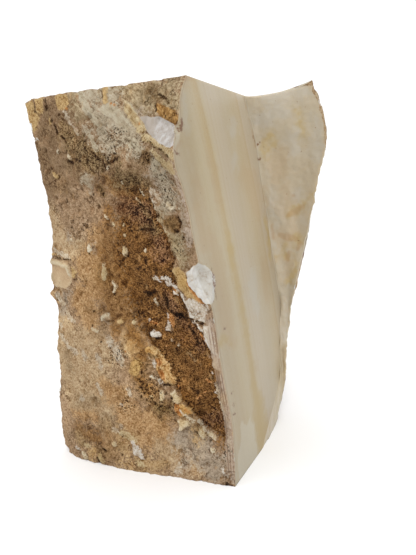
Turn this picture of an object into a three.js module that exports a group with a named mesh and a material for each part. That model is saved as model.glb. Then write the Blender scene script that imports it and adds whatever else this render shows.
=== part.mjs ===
// A raw block of banded onyx marble, a calcite vein rock, standing upright. Millimetres, +Z up.
// The broad front (-Y) and the back (+Y) are the vein's two weathered crusts, and the bands run
// upright between them. The right side (+X) is a flat saw cut that ends in a shell-like break,
// the left side is a rough split, and the top and the base are sawn level.
// It is one natural piece, so it is one closed skin: a grid of columns round the block and of rows
// that run from the middle of the base, up the sides, to the middle of the top.
// The origin is the middle of the base's bounding rectangle.
import * as THREE from "three";

const sawnHeight = 250; // base to sawn top
const crestRise = 5; // the break's outer tip stands this far above the sawn top
const sawLean = 18 / sawnHeight; // inward lean of the saw cut, per millimetre of height

const rowCount = 32; // rows of cells up each side
const topRings = [0.96, 0.82, 0.55, 0.25]; // share of the way out from the top's middle to its rim
const baseRings = [0.25, 0.55, 0.82, 0.96];
const topMiddle = new THREE.Vector2(-45, 104); // sees the whole top rim, past the break's valley
const baseMiddle = new THREE.Vector2(-65, 55);

// An upright edge is a smooth line through points [x, y, z], evenly stepped from base to top.
const uprightEdge = (points) =>
  new THREE.CatmullRomCurve3(points.map((p) => new THREE.Vector3(...p)), false, "catmullrom", 0.5);

// An upright edge in the saw cut's plane, from its depths behind the front corner's foot.
const edgeOnSawCut = (depths) =>
  uprightEdge(depths.map((y, i) => {
    const z = (i * sawnHeight) / (depths.length - 1);
    return [-sawLean * z, y, z];
  }));

// Left end of the front crust.
const crustLeft = uprightEdge([
  [-137.5, 4, 0],
  [-139.5, 4, 31],
  [-136, 4, 62],
  [-133.8, 3.5, 94],
  [-132.8, 3, 125],
  [-130.5, 2.5, 156],
  [-131.2, 2, 187],
  [-135.5, 1, 219],
  [-138, 0, sawnHeight],
]);
// Front corner, where the crust meets the saw cut; it juts forwards below the top.
const crustRight = edgeOnSawCut([
  0, 3.4, 5, 5.9, 4.7, 2.5, 0.7, -0.7, -1.9, -3, -6.3,
  -11.6, -15.1, -17.8, -19, -22.8, -28, -26.5, -17, -12, 0,
]);
// Valley where the flat saw cut ends and the break begins.
const breakValley = edgeOnSawCut([51, 99, 112, 122, 116, 112, 106, 101, 87]);
// Outer rim of the break, which flares out towards the top.
const breakRim = uprightEdge([
  [-3, 95, 0],
  [1, 105, 29],
  [1.5, 115, 60],
  [3.5, 122, 92],
  [11, 121, 124],
  [21, 114, 156],
  [29.5, 106, 187],
  [38.5, 98, 219],
  [31, 89, sawnHeight + crestRise],
]);
// Blunt back right corner, where the weathered flank behind the rim turns into the back crust.
const backRight = uprightEdge([
  [-17, 115, 0],
  [-9, 131, 62],
  [2, 140, 125],
  [13, 139, 187],
  [12, 130, sawnHeight],
]);
// Back left corner, where the back crust meets the split side.
const backLeft = uprightEdge([
  [-124, 108, 0],
  [-131, 120, 62],
  [-125, 128, 125],
  [-130, 121, 187],
  [-119, 115, sawnHeight],
]);

// Swells: how far each side stands out from the straight line between its two edges, in millimetres.
// s runs from 0 to 1 along the side, seen from outside from left to right, and v from base to top.
const crustFullness = { atBase: 10.5, atTop: 3, skew: 0.545 }; // fullest near its left end
const crustTrough = { depth: 4.5, halfWidth: 0.13, leftAt: 0.95, fall: 0.8 }; // runs down to the right
const cornerHollow = { depth: 8, at: 0.81, halfWidth: 0.14, skew: 2.5 }; // beside the jutting corner
const breakScoop = { depthAtTop: 3.2, ribHeight: 0.9, ribs: 3.2, ribSlant: 0.6 };
const flankDents = { fullness: 2, dentDepth: 1.5, dents: 2.3, slant: 0.2 };
const backBelly = { fullness: 7, skew: 0.9 };
const splitStep = { height: 4, sharpness: 12, rightAt: 0.45, fall: 0.25 };

const arch = (s, skew = 1) => Math.sin(Math.PI * Math.min(1, s ** skew));
const wave = (turns) => Math.sin(2 * Math.PI * turns);
const ridge = (distance, halfWidth) => Math.exp(-((distance / halfWidth) ** 2));

// Front crust: full near its left end and its base, with a shallow trough across it and a hollow
// beside the jutting part of its corner.
function crustSwell(s, v) {
  const { atBase, atTop, skew } = crustFullness;
  const fullness = THREE.MathUtils.lerp(atBase, atTop, v) * arch(s, skew);
  const troughMiddle = crustTrough.leftAt - crustTrough.fall * s;
  const trough = crustTrough.depth * arch(s) * ridge(v - troughMiddle, crustTrough.halfWidth);
  const { depth, at, halfWidth, skew: hollowSkew } = cornerHollow;
  const hollow = depth * arch(s, hollowSkew) * ridge(v - at, halfWidth);
  return fullness - trough - hollow;
}

// The break is scooped like a shell, with low ribs across the scoop.
function breakSwell(s, v) {
  const { depthAtTop, ribHeight, ribs, ribSlant } = breakScoop;
  return arch(s) * (ribHeight * wave(ribs * v + ribSlant * s) - depthAtTop * v);
}

// Weathered flank between the break's rim and the back: rounded, with shallow dents.
function flankSwell(s, v) {
  const { fullness, dentDepth, dents, slant } = flankDents;
  return arch(s) * (fullness + dentDepth * wave(dents * v + slant * s));
}

// Back crust: a broad belly with slow swells.
function backSwell(s, v) {
  const swells = 2.4 * wave(1.3 * v + 0.9 * s) + 1.5 * wave(2.6 * v - 1.7 * s);
  return backBelly.fullness * arch(s, backBelly.skew) + arch(s) * swells;
}

// Split side: two broad scallops with a step between them.
function splitSwell(s, v) {
  const scallops = 3.5 * wave(1.1 * v + 0.55 * s) + 1.8 * wave(2.7 * v - 0.8 * s);
  const { height, sharpness, rightAt, fall } = splitStep;
  const step = height * Math.tanh(sharpness * (v - rightAt + fall * s));
  return arch(s) * (scallops + step);
}

// The sides in order round the block, counter-clockwise from above. "out" is the way a swell goes.
const sides = [
  { from: crustLeft, to: crustRight, columns: 22, out: [0, -1], swell: crustSwell },
  { from: crustRight, to: breakValley, columns: 12, out: [1, 0], swell: () => 0 },
  { from: breakValley, to: breakRim, columns: 8, out: [0.35, -0.94], swell: breakSwell },
  { from: breakRim, to: backRight, columns: 6, out: [1, 0.3], swell: flankSwell },
  { from: backRight, to: backLeft, columns: 16, out: [0, 1], swell: backSwell },
  { from: backLeft, to: crustLeft, columns: 14, out: [-1, 0], swell: splitSwell },
];

// A point of one side: between its two edges, moved out by its swell.
function sidePoint(side, s, v) {
  const point = side.from.getPoint(v).lerp(side.to.getPoint(v), s);
  const swell = side.swell(s, v);
  point.x += side.out[0] * swell;
  point.y += side.out[1] * swell;
  return point;
}

// A row of points round the block, at a share v of the way up.
function loopAt(v) {
  return sides.flatMap((side) =>
    Array.from({ length: side.columns }, (_, i) => sidePoint(side, i / side.columns, v)),
  );
}

// A ring of a level face: the rim drawn in towards the middle. Where the rim stands above the level
// face, the ring comes back down to it within the outer part of the face.
function ringOf(rim, middle, level, share) {
  return rim.map((p) => {
    const x = THREE.MathUtils.lerp(middle.x, p.x, share);
    const y = THREE.MathUtils.lerp(middle.y, p.y, share);
    return new THREE.Vector3(x, y, THREE.MathUtils.lerp(level, p.z, share ** 4));
  });
}

// The closed skin: rows of points, with one point at each pole.
function blockGeometry() {
  const baseRim = loopAt(0);
  const topRim = loopAt(1);
  const rows = [
    ...baseRings.map((share) => ringOf(baseRim, baseMiddle, 0, share)),
    ...Array.from({ length: rowCount + 1 }, (_, j) => loopAt(j / rowCount)),
    ...topRings.map((share) => ringOf(topRim, topMiddle, sawnHeight, share)),
  ];
  const around = baseRim.length;
  const points = rows.flat();
  const basePole = points.push(new THREE.Vector3(baseMiddle.x, baseMiddle.y, 0)) - 1;
  const topPole = points.push(new THREE.Vector3(topMiddle.x, topMiddle.y, sawnHeight)) - 1;

  const index = [];
  for (let i = 0; i < around; i++) {
    const next = (i + 1) % around;
    index.push(basePole, next, i);
    for (let row = 0; row < rows.length - 1; row++) {
      const low = row * around;
      const high = low + around;
      index.push(low + i, low + next, high + next);
      index.push(low + i, high + next, high + i);
    }
    const last = (rows.length - 1) * around;
    index.push(last + i, last + next, topPole);
  }

  const geometry = new THREE.BufferGeometry().setFromPoints(points);
  geometry.setIndex(index);
  geometry.computeVertexNormals();
  return geometry;
}

// Moves the block so that the origin is the middle of its base.
function centreOnBase(geometry) {
  geometry.computeBoundingBox();
  const middle = geometry.boundingBox.getCenter(new THREE.Vector3());
  return geometry.translate(-middle.x, -middle.y, -geometry.boundingBox.min.z);
}

const onyx = new THREE.MeshStandardMaterial({ color: 0xc9bb9c, roughness: 0.6, metalness: 0 });
const block = new THREE.Mesh(centreOnBase(blockGeometry()), onyx);
block.name = "onyx_block";

const onyxBlock = new THREE.Group();
onyxBlock.add(block);

export default onyxBlock;
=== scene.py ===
import math

import bpy
import numpy as np
from mathutils import Matrix, Vector


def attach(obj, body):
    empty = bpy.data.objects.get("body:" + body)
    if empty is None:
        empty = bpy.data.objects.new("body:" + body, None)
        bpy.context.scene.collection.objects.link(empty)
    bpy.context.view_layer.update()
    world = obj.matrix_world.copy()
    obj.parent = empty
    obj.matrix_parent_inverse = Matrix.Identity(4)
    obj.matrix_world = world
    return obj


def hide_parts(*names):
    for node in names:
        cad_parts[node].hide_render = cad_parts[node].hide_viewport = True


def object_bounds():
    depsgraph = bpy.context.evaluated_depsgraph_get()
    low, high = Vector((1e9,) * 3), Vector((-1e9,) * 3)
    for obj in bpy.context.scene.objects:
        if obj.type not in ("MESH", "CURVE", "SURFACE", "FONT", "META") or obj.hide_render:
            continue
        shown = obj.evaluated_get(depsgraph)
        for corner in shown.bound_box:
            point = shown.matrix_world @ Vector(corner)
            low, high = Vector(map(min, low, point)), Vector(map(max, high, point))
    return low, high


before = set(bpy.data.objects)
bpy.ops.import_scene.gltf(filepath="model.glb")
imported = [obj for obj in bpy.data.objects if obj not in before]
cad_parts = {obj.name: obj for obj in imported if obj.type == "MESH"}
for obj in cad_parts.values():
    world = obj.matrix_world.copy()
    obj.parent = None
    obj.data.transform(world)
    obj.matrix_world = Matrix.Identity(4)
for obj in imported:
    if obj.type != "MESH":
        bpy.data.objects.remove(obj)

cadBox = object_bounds()
print("frame loaded")

# The stone's skin is worked out in millimetres from the foot of its front corner: +X to the right
# along the front crust, +Y into the stone, +Z up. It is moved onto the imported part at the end.
block = {
    "height": 250,         # base to sawn top
    "crestDip": 2.6,       # how far the break's top edge sags between the sawn top and the tip
    "sawLean": 18 / 250,   # inward lean of the saw cut, for each millimetre of height
    "rows": 244,
    "topMiddle": (-45, 104),
    "baseMiddle": (-65, 55),
    "topRings": 18,
    "baseRings": 10,
    "boxRows": 128,        # rows measured for the large shape's box
    "ringCrowd": 0.93,     # how much the rings gather at the rim
    "innermost": 0.02,     # the last ring's share of the way out from the middle
    "levelling": 8,        # how fast the rings come level; 1 is only at the middle
}


def onSawCut(depths):
    # Evenly stepped heights with a depth behind the front corner at each; x follows the cut's lean.
    heights = np.linspace(0, block["height"], len(depths))
    return np.stack([-block["sawLean"] * heights, depths, heights], 1)


# Upright edges from base to top, in order round the stone; each has evenly stepped points.
edges = {
    "crustLeft": [(-137.5, 4, 0), (-139.5, 4, 31), (-136, 4, 62), (-133.8, 3.5, 94), (-132.8, 3, 125),
                  (-130.5, 2.5, 156), (-131.2, 2, 187), (-135.5, 1, 219), (-138, 0, 250)],
    "crustRight": onSawCut([0, 3.4, 5, 5.9, 4.7, 2.5, 0.7, -0.7, -1.9, -3, -6.3,
                            -11.6, -15.1, -17.8, -19, -22.8, -28, -26.5, -17.5, -13, -3]),
    "valley": onSawCut([51, 99, 112, 122, 116, 112, 106, 101, 87]),
    "breakRim": [(-3, 95, 0), (1, 105, 29), (1.5, 115, 60), (3.5, 122, 92), (11, 121, 124),
                 (21, 114, 156), (29.5, 106, 187), (38.5, 98, 219), (31, 89, 255)],
    "backRight": [(-17, 115, 0), (-9, 131, 62), (2, 140, 125), (13, 139, 187), (12, 130, 250)],
    "backLeft": [(-124, 108, 0), (-131, 120, 62), (-125, 128, 125), (-130, 121, 187), (-119, 115, 250)],
}
edges = {name: np.array(points, float) for name, points in edges.items()}

# The sides counter-clockwise from above. "out" is the way that a side swells, "crowd" how much its
# columns gather at its edges, and "reach" how far in from its left and right edges, in millimetres,
# the side follows those edges' own roughness.
sides = [
    {"name": "crust", "left": "crustLeft", "right": "crustRight", "columns": 178, "crowd": 0.3,
     "out": (0, -1), "reach": (16, 5)},
    {"name": "sawn", "left": "crustRight", "right": "valley", "columns": 48, "crowd": 0.75,
     "out": (1, 0), "reach": (14, 6)},
    {"name": "broken", "left": "valley", "right": "breakRim", "columns": 48, "crowd": 0.3,
     "out": (0.35, -0.94), "reach": (4, 5)},
    {"name": "flank", "left": "breakRim", "right": "backRight", "columns": 14, "crowd": 0.5,
     "out": (1, 0.3), "reach": (5, 5)},
    {"name": "back", "left": "backRight", "right": "backLeft", "columns": 44, "crowd": 0.4,
     "out": (0, 1), "reach": (6, 6)},
    {"name": "split", "left": "backLeft", "right": "crustLeft", "columns": 34, "crowd": 0.5,
     "out": (-1, 0), "reach": (6, 18)},
]

tableSize = 4096   # a power of two
# Random slopes for clouds(); random places, and a number each, for cells().
noiseTable = np.random.default_rng(11).normal(size=(tableSize, 3))
noiseTable /= np.linalg.norm(noiseTable, axis=1, keepdims=True)
cellTable = np.random.default_rng(12).random((tableSize, 4))


def cornerNumber(whole, seed):
    # A table place for each lattice corner: its three whole numbers, times large primes, are mixed.
    n = whole[..., 0] * 73856093 ^ whole[..., 1] * 19349663 ^ whole[..., 2] * 83492791 ^ seed * 40503
    n = ((n & 0xFFFFFFFF) ^ ((n & 0xFFFFFFFF) >> 13)) * 1274126177 & 0xFFFFFFFF
    return (n ^ (n >> 15)) & (tableSize - 1)


def clouds(at, size, seed, octaves=1, gain=0.5):
    # Gradient noise, about -1 to 1: each lattice corner has a random slope, and the heights of the
    # eight slopes round a point are blended by a smooth step. Each octave halves the size, and
    # multiplies the height by the gain.
    total = np.zeros(at.shape[:-1])
    height = 1.7   # so that one octave nearly reaches 1
    for octave in range(octaves):
        place = at * (2 ** octave / size)
        low = np.floor(place).astype(np.int64)
        part = place - low
        blend = part * part * part * (part * (part * 6 - 15) + 10)
        value = 0
        for corner in np.ndindex(2, 2, 2):
            slope = noiseTable[cornerNumber(low + corner, seed + 31 * octave)]
            share = np.prod(np.where(corner, blend, 1 - blend), -1)
            value = value + share * np.sum(slope * (part - corner), -1)
        total += height * value
        height *= gain
    return total


def cells(at, size, seed):
    # Scattered points, one in each lattice cell: how far the nearest one is, in millimetres, and a
    # random number of its own.
    place = at / size
    low = np.floor(place).astype(np.int64)
    nearest = np.full(at.shape[:-1], 9.0)
    own = np.zeros(at.shape[:-1])
    for shift in np.ndindex(3, 3, 3):
        cell = low + np.array(shift) - 1
        entry = cellTable[cornerNumber(cell, seed)]
        away = np.linalg.norm(cell + entry[..., :3] - place, axis=-1)
        own = np.where(away < nearest, entry[..., 3], own)
        nearest = np.minimum(nearest, away)
    return nearest * size, own


def step(low, high, value):
    # 0 below low, 1 above high, smooth between them; low may be the larger one.
    t = np.clip((value - low) / (high - low), 0, 1)
    return t * t * (3 - 2 * t)


def smoothLine(points, v):
    # A smooth line through evenly stepped points: between two of them a cubic leaves each one
    # parallel to the line between its two neighbours. A mirrored point stands past each end.
    points = np.vstack([2 * points[0] - points[1], points, 2 * points[-1] - points[-2]])
    place = np.asarray(v) * (len(points) - 3)
    i = np.minimum(place.astype(int), len(points) - 4)
    t = (place - i)[:, None]
    a, b, c, d = points[i], points[i + 1], points[i + 2], points[i + 3]
    square = a - 2.5 * b + 2 * c - d / 2
    cube = 1.5 * (b - c) + (d - a) / 2
    return b + t * (c - a) / 2 + t * t * square + t ** 3 * cube


def arch(s, skew=1.0):
    # Half a sine wave from 0 to 1 along s. A skew over 1 moves its top to the right, under 1 to the
    # left.
    return np.sin(np.pi * np.minimum(1, s ** skew))


def wave(turns):
    # A sine wave that repeats at each whole turn.
    return np.sin(2 * np.pi * turns)


def bell(distance, halfWidth):
    # 1 where the distance is 0, falling away on both sides.
    return np.exp(-(distance / halfWidth) ** 2)


# For each side: how far its arch stands out at the base and at the top, in millimetres, the arch's
# skew, and waves with their heights, turns upwards and turns across.
swells = {
    "crust": (10.5, 3, 0.545, []),               # fullest near its left end
    "sawn": (0, 0, 1, []),
    "broken": (0, -3.2, 1, [(0.9, 3.2, 0.6)]),   # scooped like a shell, with low ribs
    "flank": (2, 2, 1, [(1.5, 2.3, 0.2)]),
    "back": (7, 7, 0.9, [(2.4, 1.3, 0.9), (1.5, 2.6, -1.7)]),
    "split": (0, 0, 1, [(3.5, 1.1, 0.55), (1.8, 2.7, -0.8)]),
}
trough = {"depth": 4.5, "halfWidth": 0.13, "leftAt": 0.95, "fall": 0.8}   # down across the crust
cornerHollow = {"depth": 8, "halfWidth": 0.14, "at": 0.81, "skew": 2.5}   # beside the jutting corner
ledge = {"height": 4, "sharpness": 12, "rightAt": 0.45, "fall": 0.25}     # across the split side


def swellOf(name, s, v):
    # How far a side stands out from the straight line between its edges, in millimetres. s runs left
    # to right and v up: an arch along the side, plus an arch times waves, a bell curve or a step.
    atBase, atTop, skew, waves = swells[name]
    more = sum(height * wave(up * v + across * s) for height, up, across in waves)
    if name == "split":
        above = v - ledge["rightAt"] + ledge["fall"] * s
        more = more + ledge["height"] * np.tanh(ledge["sharpness"] * above)
    if name == "crust":
        above = v - trough["leftAt"] + trough["fall"] * s
        more = more - trough["depth"] * bell(above, trough["halfWidth"])
    swell = (atBase + (atTop - atBase) * v) * arch(s, skew) + arch(s) * more
    if name == "crust":
        beside = cornerHollow["depth"] * arch(s, cornerHollow["skew"])
        swell = swell - beside * bell(v - cornerHollow["at"], cornerHollow["halfWidth"])
    return swell


# What lies where on the front crust, in millimetres: brush strokes of points (x, z, half width), and
# closed outlines of points (x, z).
crustStrokes = {
    "umber": [
        [(-136, 222, 5), (-130, 210, 9), (-122, 200, 9), (-112, 193, 7)],
        [(-122, 226, 7), (-112, 222, 5), (-104, 232, 6)], [(-118, 241, 4), (-114, 246, 3)],
        [(-98, 206, 7), (-92, 198, 6)], [(-37, 168, 2), (-31, 168, 2)],
    ],
    "beige": [
        [(-124, 96, 12), (-118, 76, 20), (-108, 56, 24), (-96, 44, 16)],
        [(-100, 86, 16), (-90, 80, 12)],
        [(-128, 176, 6), (-124, 160, 11), (-114, 152, 11), (-103, 152, 8)],
        [(-70, 92, 8), (-62, 84, 5)], [(-52, 22, 10), (-40, 14, 12), (-24, 10, 8)], [(-126, 120, 6)],
    ],
    "peach": [
        [(-88, 164, 4), (-84, 158, 8), (-90, 146, 9), (-98, 138, 8), (-92, 128, 10)],
        [(-104, 120, 9), (-98, 106, 10)], [(-80, 104, 8), (-78, 97, 4)],
        [(-92, 56, 6), (-80, 50, 9), (-72, 36, 10), (-66, 24, 9)], [(-78, 16, 6)], [(-74, 137, 3)],
        [(-118, 34, 4), (-104, 34, 4)], [(-137, 118.5, 2), (-131, 119, 3)],
        [(-60, 36, 8), (-50, 32, 7)],
    ],
    "brown": [
        [(-74, 178, 4), (-78, 166, 5), (-76, 150, 8), (-76, 134, 9), (-80, 118, 9), (-74, 108, 7)],
        [(-72, 196, 4), (-60, 190, 8), (-48, 192, 7)],
        [(-66, 98, 4), (-60, 84, 3), (-64, 66, 4), (-56, 58, 4)], [(-118, 22, 5), (-104, 18, 5)],
        # Its second stroke is painted shade just above the plate's top left.
        [(-60, 112, 5)], [(-124, 150, 1.6), (-121, 146.5, 1.6)],
    ],
    "tan": [
        [(-97, 246, 4), (-94, 239, 4), (-90, 234, 3)],
        [(-78, 247, 5), (-60, 247, 4), (-44, 241, 8), (-28, 240, 9), (-20, 234, 4)],
        [(-50, 236, 5), (-40, 234, 4)], [(-86, 238, 3), (-81, 232, 2)],
    ],
    "olive": [
        [(-102, 224, 6), (-96, 220, 7), (-88, 212, 8), (-80, 207, 7)], [(-79, 216, 3), (-74, 204, 4)],
        [(-68, 207, 4), (-61, 205, 3)], [(-43, 245, 2), (-36, 242, 2), (-30, 240, 2)],
        # Its first stroke is painted shade round the dent at x -40, z 205.
        [(-46, 208, 4), (-39, 203, 4)], [(-62, 195, 5), (-54, 195, 6), (-46, 194, 5), (-42, 190, 4)],
        [(-50, 47, 4), (-44, 45, 3)], [(-29, 187, 4), (-25, 184, 3)], [(-30, 203, 3)],
    ],
    "pale": [
        [(-85, 249, 3), (-80, 241, 4), (-76, 232, 5), (-72, 222, 5), (-64, 213, 5)], [(-84, 224, 3)],
        [(-72, 245, 4), (-62, 242, 4)], [(-70, 235, 6), (-60, 230, 8), (-54, 220, 9), (-48, 212, 6)],
        [(-46, 218, 4)], [(-36, 202, 2), (-29, 197, 4), (-26, 188, 4), (-27, 178, 5)],
        [(-27, 164, 3), (-23, 156, 5), (-20, 146, 4)], [(-87, 196, 3), (-84, 191, 2)],
    ],
    "veil": [
        [(-91, 250, 2), (-86, 241, 3), (-80, 232, 2.5), (-76, 227, 1)],
        [(-71, 236, 3), (-63, 233, 4), (-56, 226, 3)], [(-97, 229, 0.6), (-92, 224, 0.8)],
        [(-83, 222, 1.5), (-77, 214, 1.5)], [(-54, 237, 1.5), (-50, 231, 2)],
        [(-50, 215, 3), (-44, 211, 2)], [(-34, 199, 1.5), (-28, 193, 1.5)],
        [(-38, 205, 1.5), (-30, 202, 1.5)],
    ],
    "grey": [
        [(-53, 229, 2), (-46, 228.5, 2.5), (-39, 229, 2)], [(-35, 200, 5), (-28, 192, 6)],
        [(-113, 124, 2), (-118, 119, 3), (-123, 112, 4), (-126, 106, 3)],
        # Its stroke at x -89, z 153 is painted shade beside the pale lump.
        [(-52, 232, 3), (-44, 230, 3)], [(-8, 24, 4), (-5, 16, 3), (-12, 14, 4)], [(-89, 153, 1.5)],
        [(-109, 162, 1.6), (-107.5, 158, 1.6)], [(-34, 24, 10), (-22, 18, 10), (-14, 8, 8)],
        [(-84, 104, 2)], [(-21, 184, 2), (-18, 174, 2.5), (-18, 165, 2)],
        [(-30, 186, 2.5), (-24, 184, 2.5)], [(-48, 145, 2.5)], [(-34, 10, 6)],
    ],
    "wine": [
        [(-62, 178, 6), (-50, 174, 8), (-42, 168, 7)], [(-38, 158, 5), (-36, 148, 5)], [(-78, 190, 3)],
        [(-12, 44, 3), (-22, 36, 3)], [(-40, 119, 5), (-28, 106, 4), (-23, 97, 4), (-20, 90, 3)],
    ],
    "gold": [
        [(-17, 84, 2), (-12, 76, 3), (-16, 68, 2)], [(-73, 176, 2)], [(-70, 130, 4)],
        [(-13, 28, 2), (-9, 25, 2)], [(-66, 160, 3)], [(-78, 100, 3)], [(-84, 150, 3)],
        [(-54, 106, 4), (-46, 104, 4), (-44, 95, 3)], [(-38, 74, 3), (-34, 66, 3)],
    ],
    "strip": [
        [(-11.5, 106, 2), (-10, 92, 3), (-8, 76, 2), (-6.5, 60, 1.8), (-4.5, 42, 1.8), (-2, 20, 2),
         (-1, 4, 2)], [(-17, 200, 2), (-15, 188, 2), (-14, 176, 2), (-12.5, 158, 2)],
        [(-16, 164, 2), (-15, 156, 1.5)],
    ],
    "ochre": [
        [(-139.5, 250), (-132.5, 250), (-132, 243), (-130, 240.5), (-127, 239), (-126.5, 236),
         (-129.5, 234.5), (-131, 231.5), (-134, 229.5), (-138.5, 231), (-139, 240)],
        [(-130, 250), (-122.5, 250), (-122.5, 244), (-123.5, 240), (-127, 239.5), (-129.5, 242),
         (-129.5, 246)],
        [(-111, 250), (-103, 250), (-100, 247), (-99, 243), (-101, 240.5), (-104, 239.5), (-108, 240),
         (-110.5, 243)],
        [(-66, 79.5), (-62.5, 80), (-60.5, 78.5), (-60, 75), (-62, 71.5), (-64, 68.5), (-68, 67.5),
         (-71, 70), (-70, 75)],
        [(-110, 140), (-107.5, 139), (-105.6, 136), (-106.8, 133), (-109, 131.5), (-109.6, 135)],
        [(-29, 142), (-24, 143), (-21, 140), (-20.5, 131), (-19, 127), (-16, 123), (-13.5, 120),
         (-16, 119.5), (-20, 123), (-23, 122.5), (-25, 125), (-27, 129), (-30, 134)],
        [(-118.5, 202, 1), (-116, 199.5, 1.2)], [(-73, 249, 2), (-71, 241, 1.5)],
        [(-19.5, 227.5, 1.6), (-17, 224.5, 1.6)],
        [(-117, 235.5, 1.2), (-116.5, 232, 0.9)],
        [(-76.3, 105.8), (-73, 106.3), (-71.8, 104), (-75, 102.8)],
    ],
    "straw": [
        [(-80.5, 25, 2), (-76, 23.5, 3), (-71, 21, 2)], [(-99, 5.5, 2), (-96, 3, 1.6)],
        [(-69, 6, 1.6), (-65, 4.5, 1.4)], [(-112, 12.5, 1.2), (-108, 11.5, 1)],
        [(-57, 239), (-52, 236), (-49, 231.5), (-45.5, 228), (-41.5, 223), (-42.5, 219.5), (-47, 221),
         (-52, 227), (-57, 234)],
        [(-44, 220.5), (-38, 219.2), (-32, 216.4), (-28, 213.6), (-24, 211.4), (-19, 209.6),
         (-15, 207.5), (-15.5, 203), (-20, 204.5), (-26, 207.5), (-31, 210), (-37, 213), (-43, 216)],
        [(-37, 211.5), (-33, 209.5), (-28, 206), (-22, 203), (-17, 201.5), (-15.5, 195.5), (-19, 195.5),
         (-25, 200), (-30, 203.5), (-35, 207.5)],
    ],
    "sand": [
        [(-80, 24, 4), (-73, 21, 3.5)], [(-80, 14, 3.5), (-77, 11, 3)],
        [(-119, 17, 3.5), (-115, 14, 3.5)], [(-107, 7, 3), (-106, 3, 2.4)],
        [(-83, 4, 1.8), (-79, 3, 1.8)], [(-66, 5, 5), (-54, 6, 4)], [(-76, 3, 4)], [(-28, 28, 3)],
    ],
    "frost": [
        [(-108, 81, 2), (-106, 76, 2)], [(-81, 30, 1.5)], [(-87, 27, 1.5), (-84, 26, 1.2)],
        [(-97, 58, 1.5), (-95, 52, 1.6)], [(-73, 57, 1.4), (-72, 53, 1.4)],
        [(-80, 88, 2), (-77, 82, 2.4)], [(-95, 79, 1.8), (-93, 71, 1.8)],
        [(-39, 8, 1.6), (-40, 3, 1.6)], [(-84, 92, 2.5), (-79, 84, 3), (-76, 76, 2.5)], [(-80, 45, 1)],
        [(-118, 106, 2), (-114, 102, 2)], [(-129, 89, 2), (-122, 83, 2), (-115, 79, 1.8)],
        [(-112, 46, 2)], [(-39, 187, 1.4), (-36, 184, 1.8), (-34, 181, 1.4)],
        [(-40, 182, 1.4), (-38, 177, 1.6), (-35, 173, 1.6), (-32, 171, 1.4)],
        [(-37, 171, 1.4), (-33, 168, 1.6), (-31, 164, 1.4)], [(-103, 238, 0.8), (-98, 231, 1)],
        [(-93, 227, 0.8)], [(-12, 66, 1.2), (-8, 46, 1.4), (-4, 22, 1.4)],
        [(-126, 150, 1.5), (-112, 146, 2)], [(-128, 118, 3), (-124, 114, 3)], [(-129, 96, 2.5)],
    ],
    "plate": [
        [(-134.5, 143.5), (-127, 144), (-119, 143.2), (-113, 142), (-110.8, 139), (-109.5, 135),
         (-110, 131), (-110.8, 129), (-114, 126.3), (-118, 124.3), (-124, 124.6), (-130, 125),
         (-134.5, 126)],
    ],
    "golden": [
        [(-35, 236), (-31, 235.6), (-27, 233.5), (-24, 232.2), (-19, 230), (-16.2, 226), (-15.6, 222.5),
         (-17, 221.5), (-22, 223.5), (-26, 226), (-31, 228.5), (-33.5, 232)],
    ],
    "butter": [
        [(-59, 87), (-54.5, 89), (-50, 86.5), (-47.5, 82), (-45, 79.5), (-42.5, 76.5), (-42, 73.5),
         (-43, 71), (-40, 67), (-38.8, 63.5), (-42, 62.5), (-45, 63.5), (-47.5, 66), (-50, 69.5),
         (-51, 74), (-50.5, 77.5), (-51.5, 81), (-53.5, 84), (-57.5, 84.5)],
        [(-38, 50.5), (-34, 48.5), (-30.5, 46), (-29.5, 43), (-33, 42), (-36, 41), (-39, 41.5),
         (-37, 45)], [(-132, 147, 0.7), (-125, 147.3, 0.6)],
    ],
    "cream": [
        [(-134, 141.5, 1.4), (-122, 141.5, 1.6), (-113.5, 139.5, 1.3), (-111.5, 134, 0.9)],
        [(-131, 133, 1), (-131, 129, 0.8)],
        [(-50.5, 59.2), (-47.5, 58.7), (-46.3, 55), (-48.3, 51.8), (-50.7, 51.3), (-50, 55)],
        [(-43, 57.5), (-40, 59.3), (-37.8, 56), (-36, 52), (-38.5, 50), (-41.5, 50.6), (-43, 50.4),
         (-41.4, 54)],
        [(-39.7, 38.7), (-36, 39.7), (-32, 38.2), (-31.3, 35), (-35, 34), (-36, 31.6), (-38.7, 31.8),
         (-38, 35)], [(-25.2, 35.5), (-21, 34.7), (-19.8, 31), (-22, 27.8), (-25, 29.8)],
        [(-83.4, 143), (-82.2, 143), (-81.7, 139), (-81, 135), (-82.2, 132), (-83.4, 131), (-84.2, 133),
         (-83.8, 138)], [(-93.4, 155.3), (-91.4, 155.3), (-89.8, 152), (-91, 149.2), (-93.8, 149.8)],
        [(-89, 104.3), (-88.3, 107.2), (-85, 109.3), (-81.8, 109.3), (-80.6, 107), (-83, 107),
         (-86, 106), (-87, 104.2)],
        [(-66.5, 154.5), (-64, 153.5), (-63.5, 150), (-65.5, 147), (-68, 148.5), (-66.5, 151)],
        [(-77.5, 130.5, 0.9), (-75.5, 128, 1), (-77.5, 124, 0.9)], [(-18, 31, 1.2), (-14, 29, 1.4)],
        [(-15.5, 21, 1.7)], [(-114, 5, 1.6), (-112, 2, 1.6)], [(-77, 173, 0.9), (-75, 172, 0.9)],
        [(-28, 179, 1.6), (-25, 177, 1.6)], [(-101, 212, 1), (-100, 209, 1.1)], [(-111, 215, 1.2)],
        [(-107, 158, 1.1)], [(-86, 17, 2)], [(-70, 168, 1)], [(-63, 167, 1)], [(-63, 161, 1)],
        [(-48, 152, 1)], [(-45, 134, 1)], [(-49, 120, 0.8), (-48, 116, 0.8)], [(-40, 93, 0.9)],
        [(-35.5, 90, 0.9)], [(-97, 98, 1.2), (-93, 96, 1.2)], [(-56, 54, 1.2)], [(-65, 104, 1.4)],
        [(-69, 202, 1.1)], [(-52, 183, 0.6), (-49, 180, 0.5)], [(-60, 193, 0.7)],
        [(-48, 188, 0.6), (-46, 185, 0.5)],
    ],
    "orange": [
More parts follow.
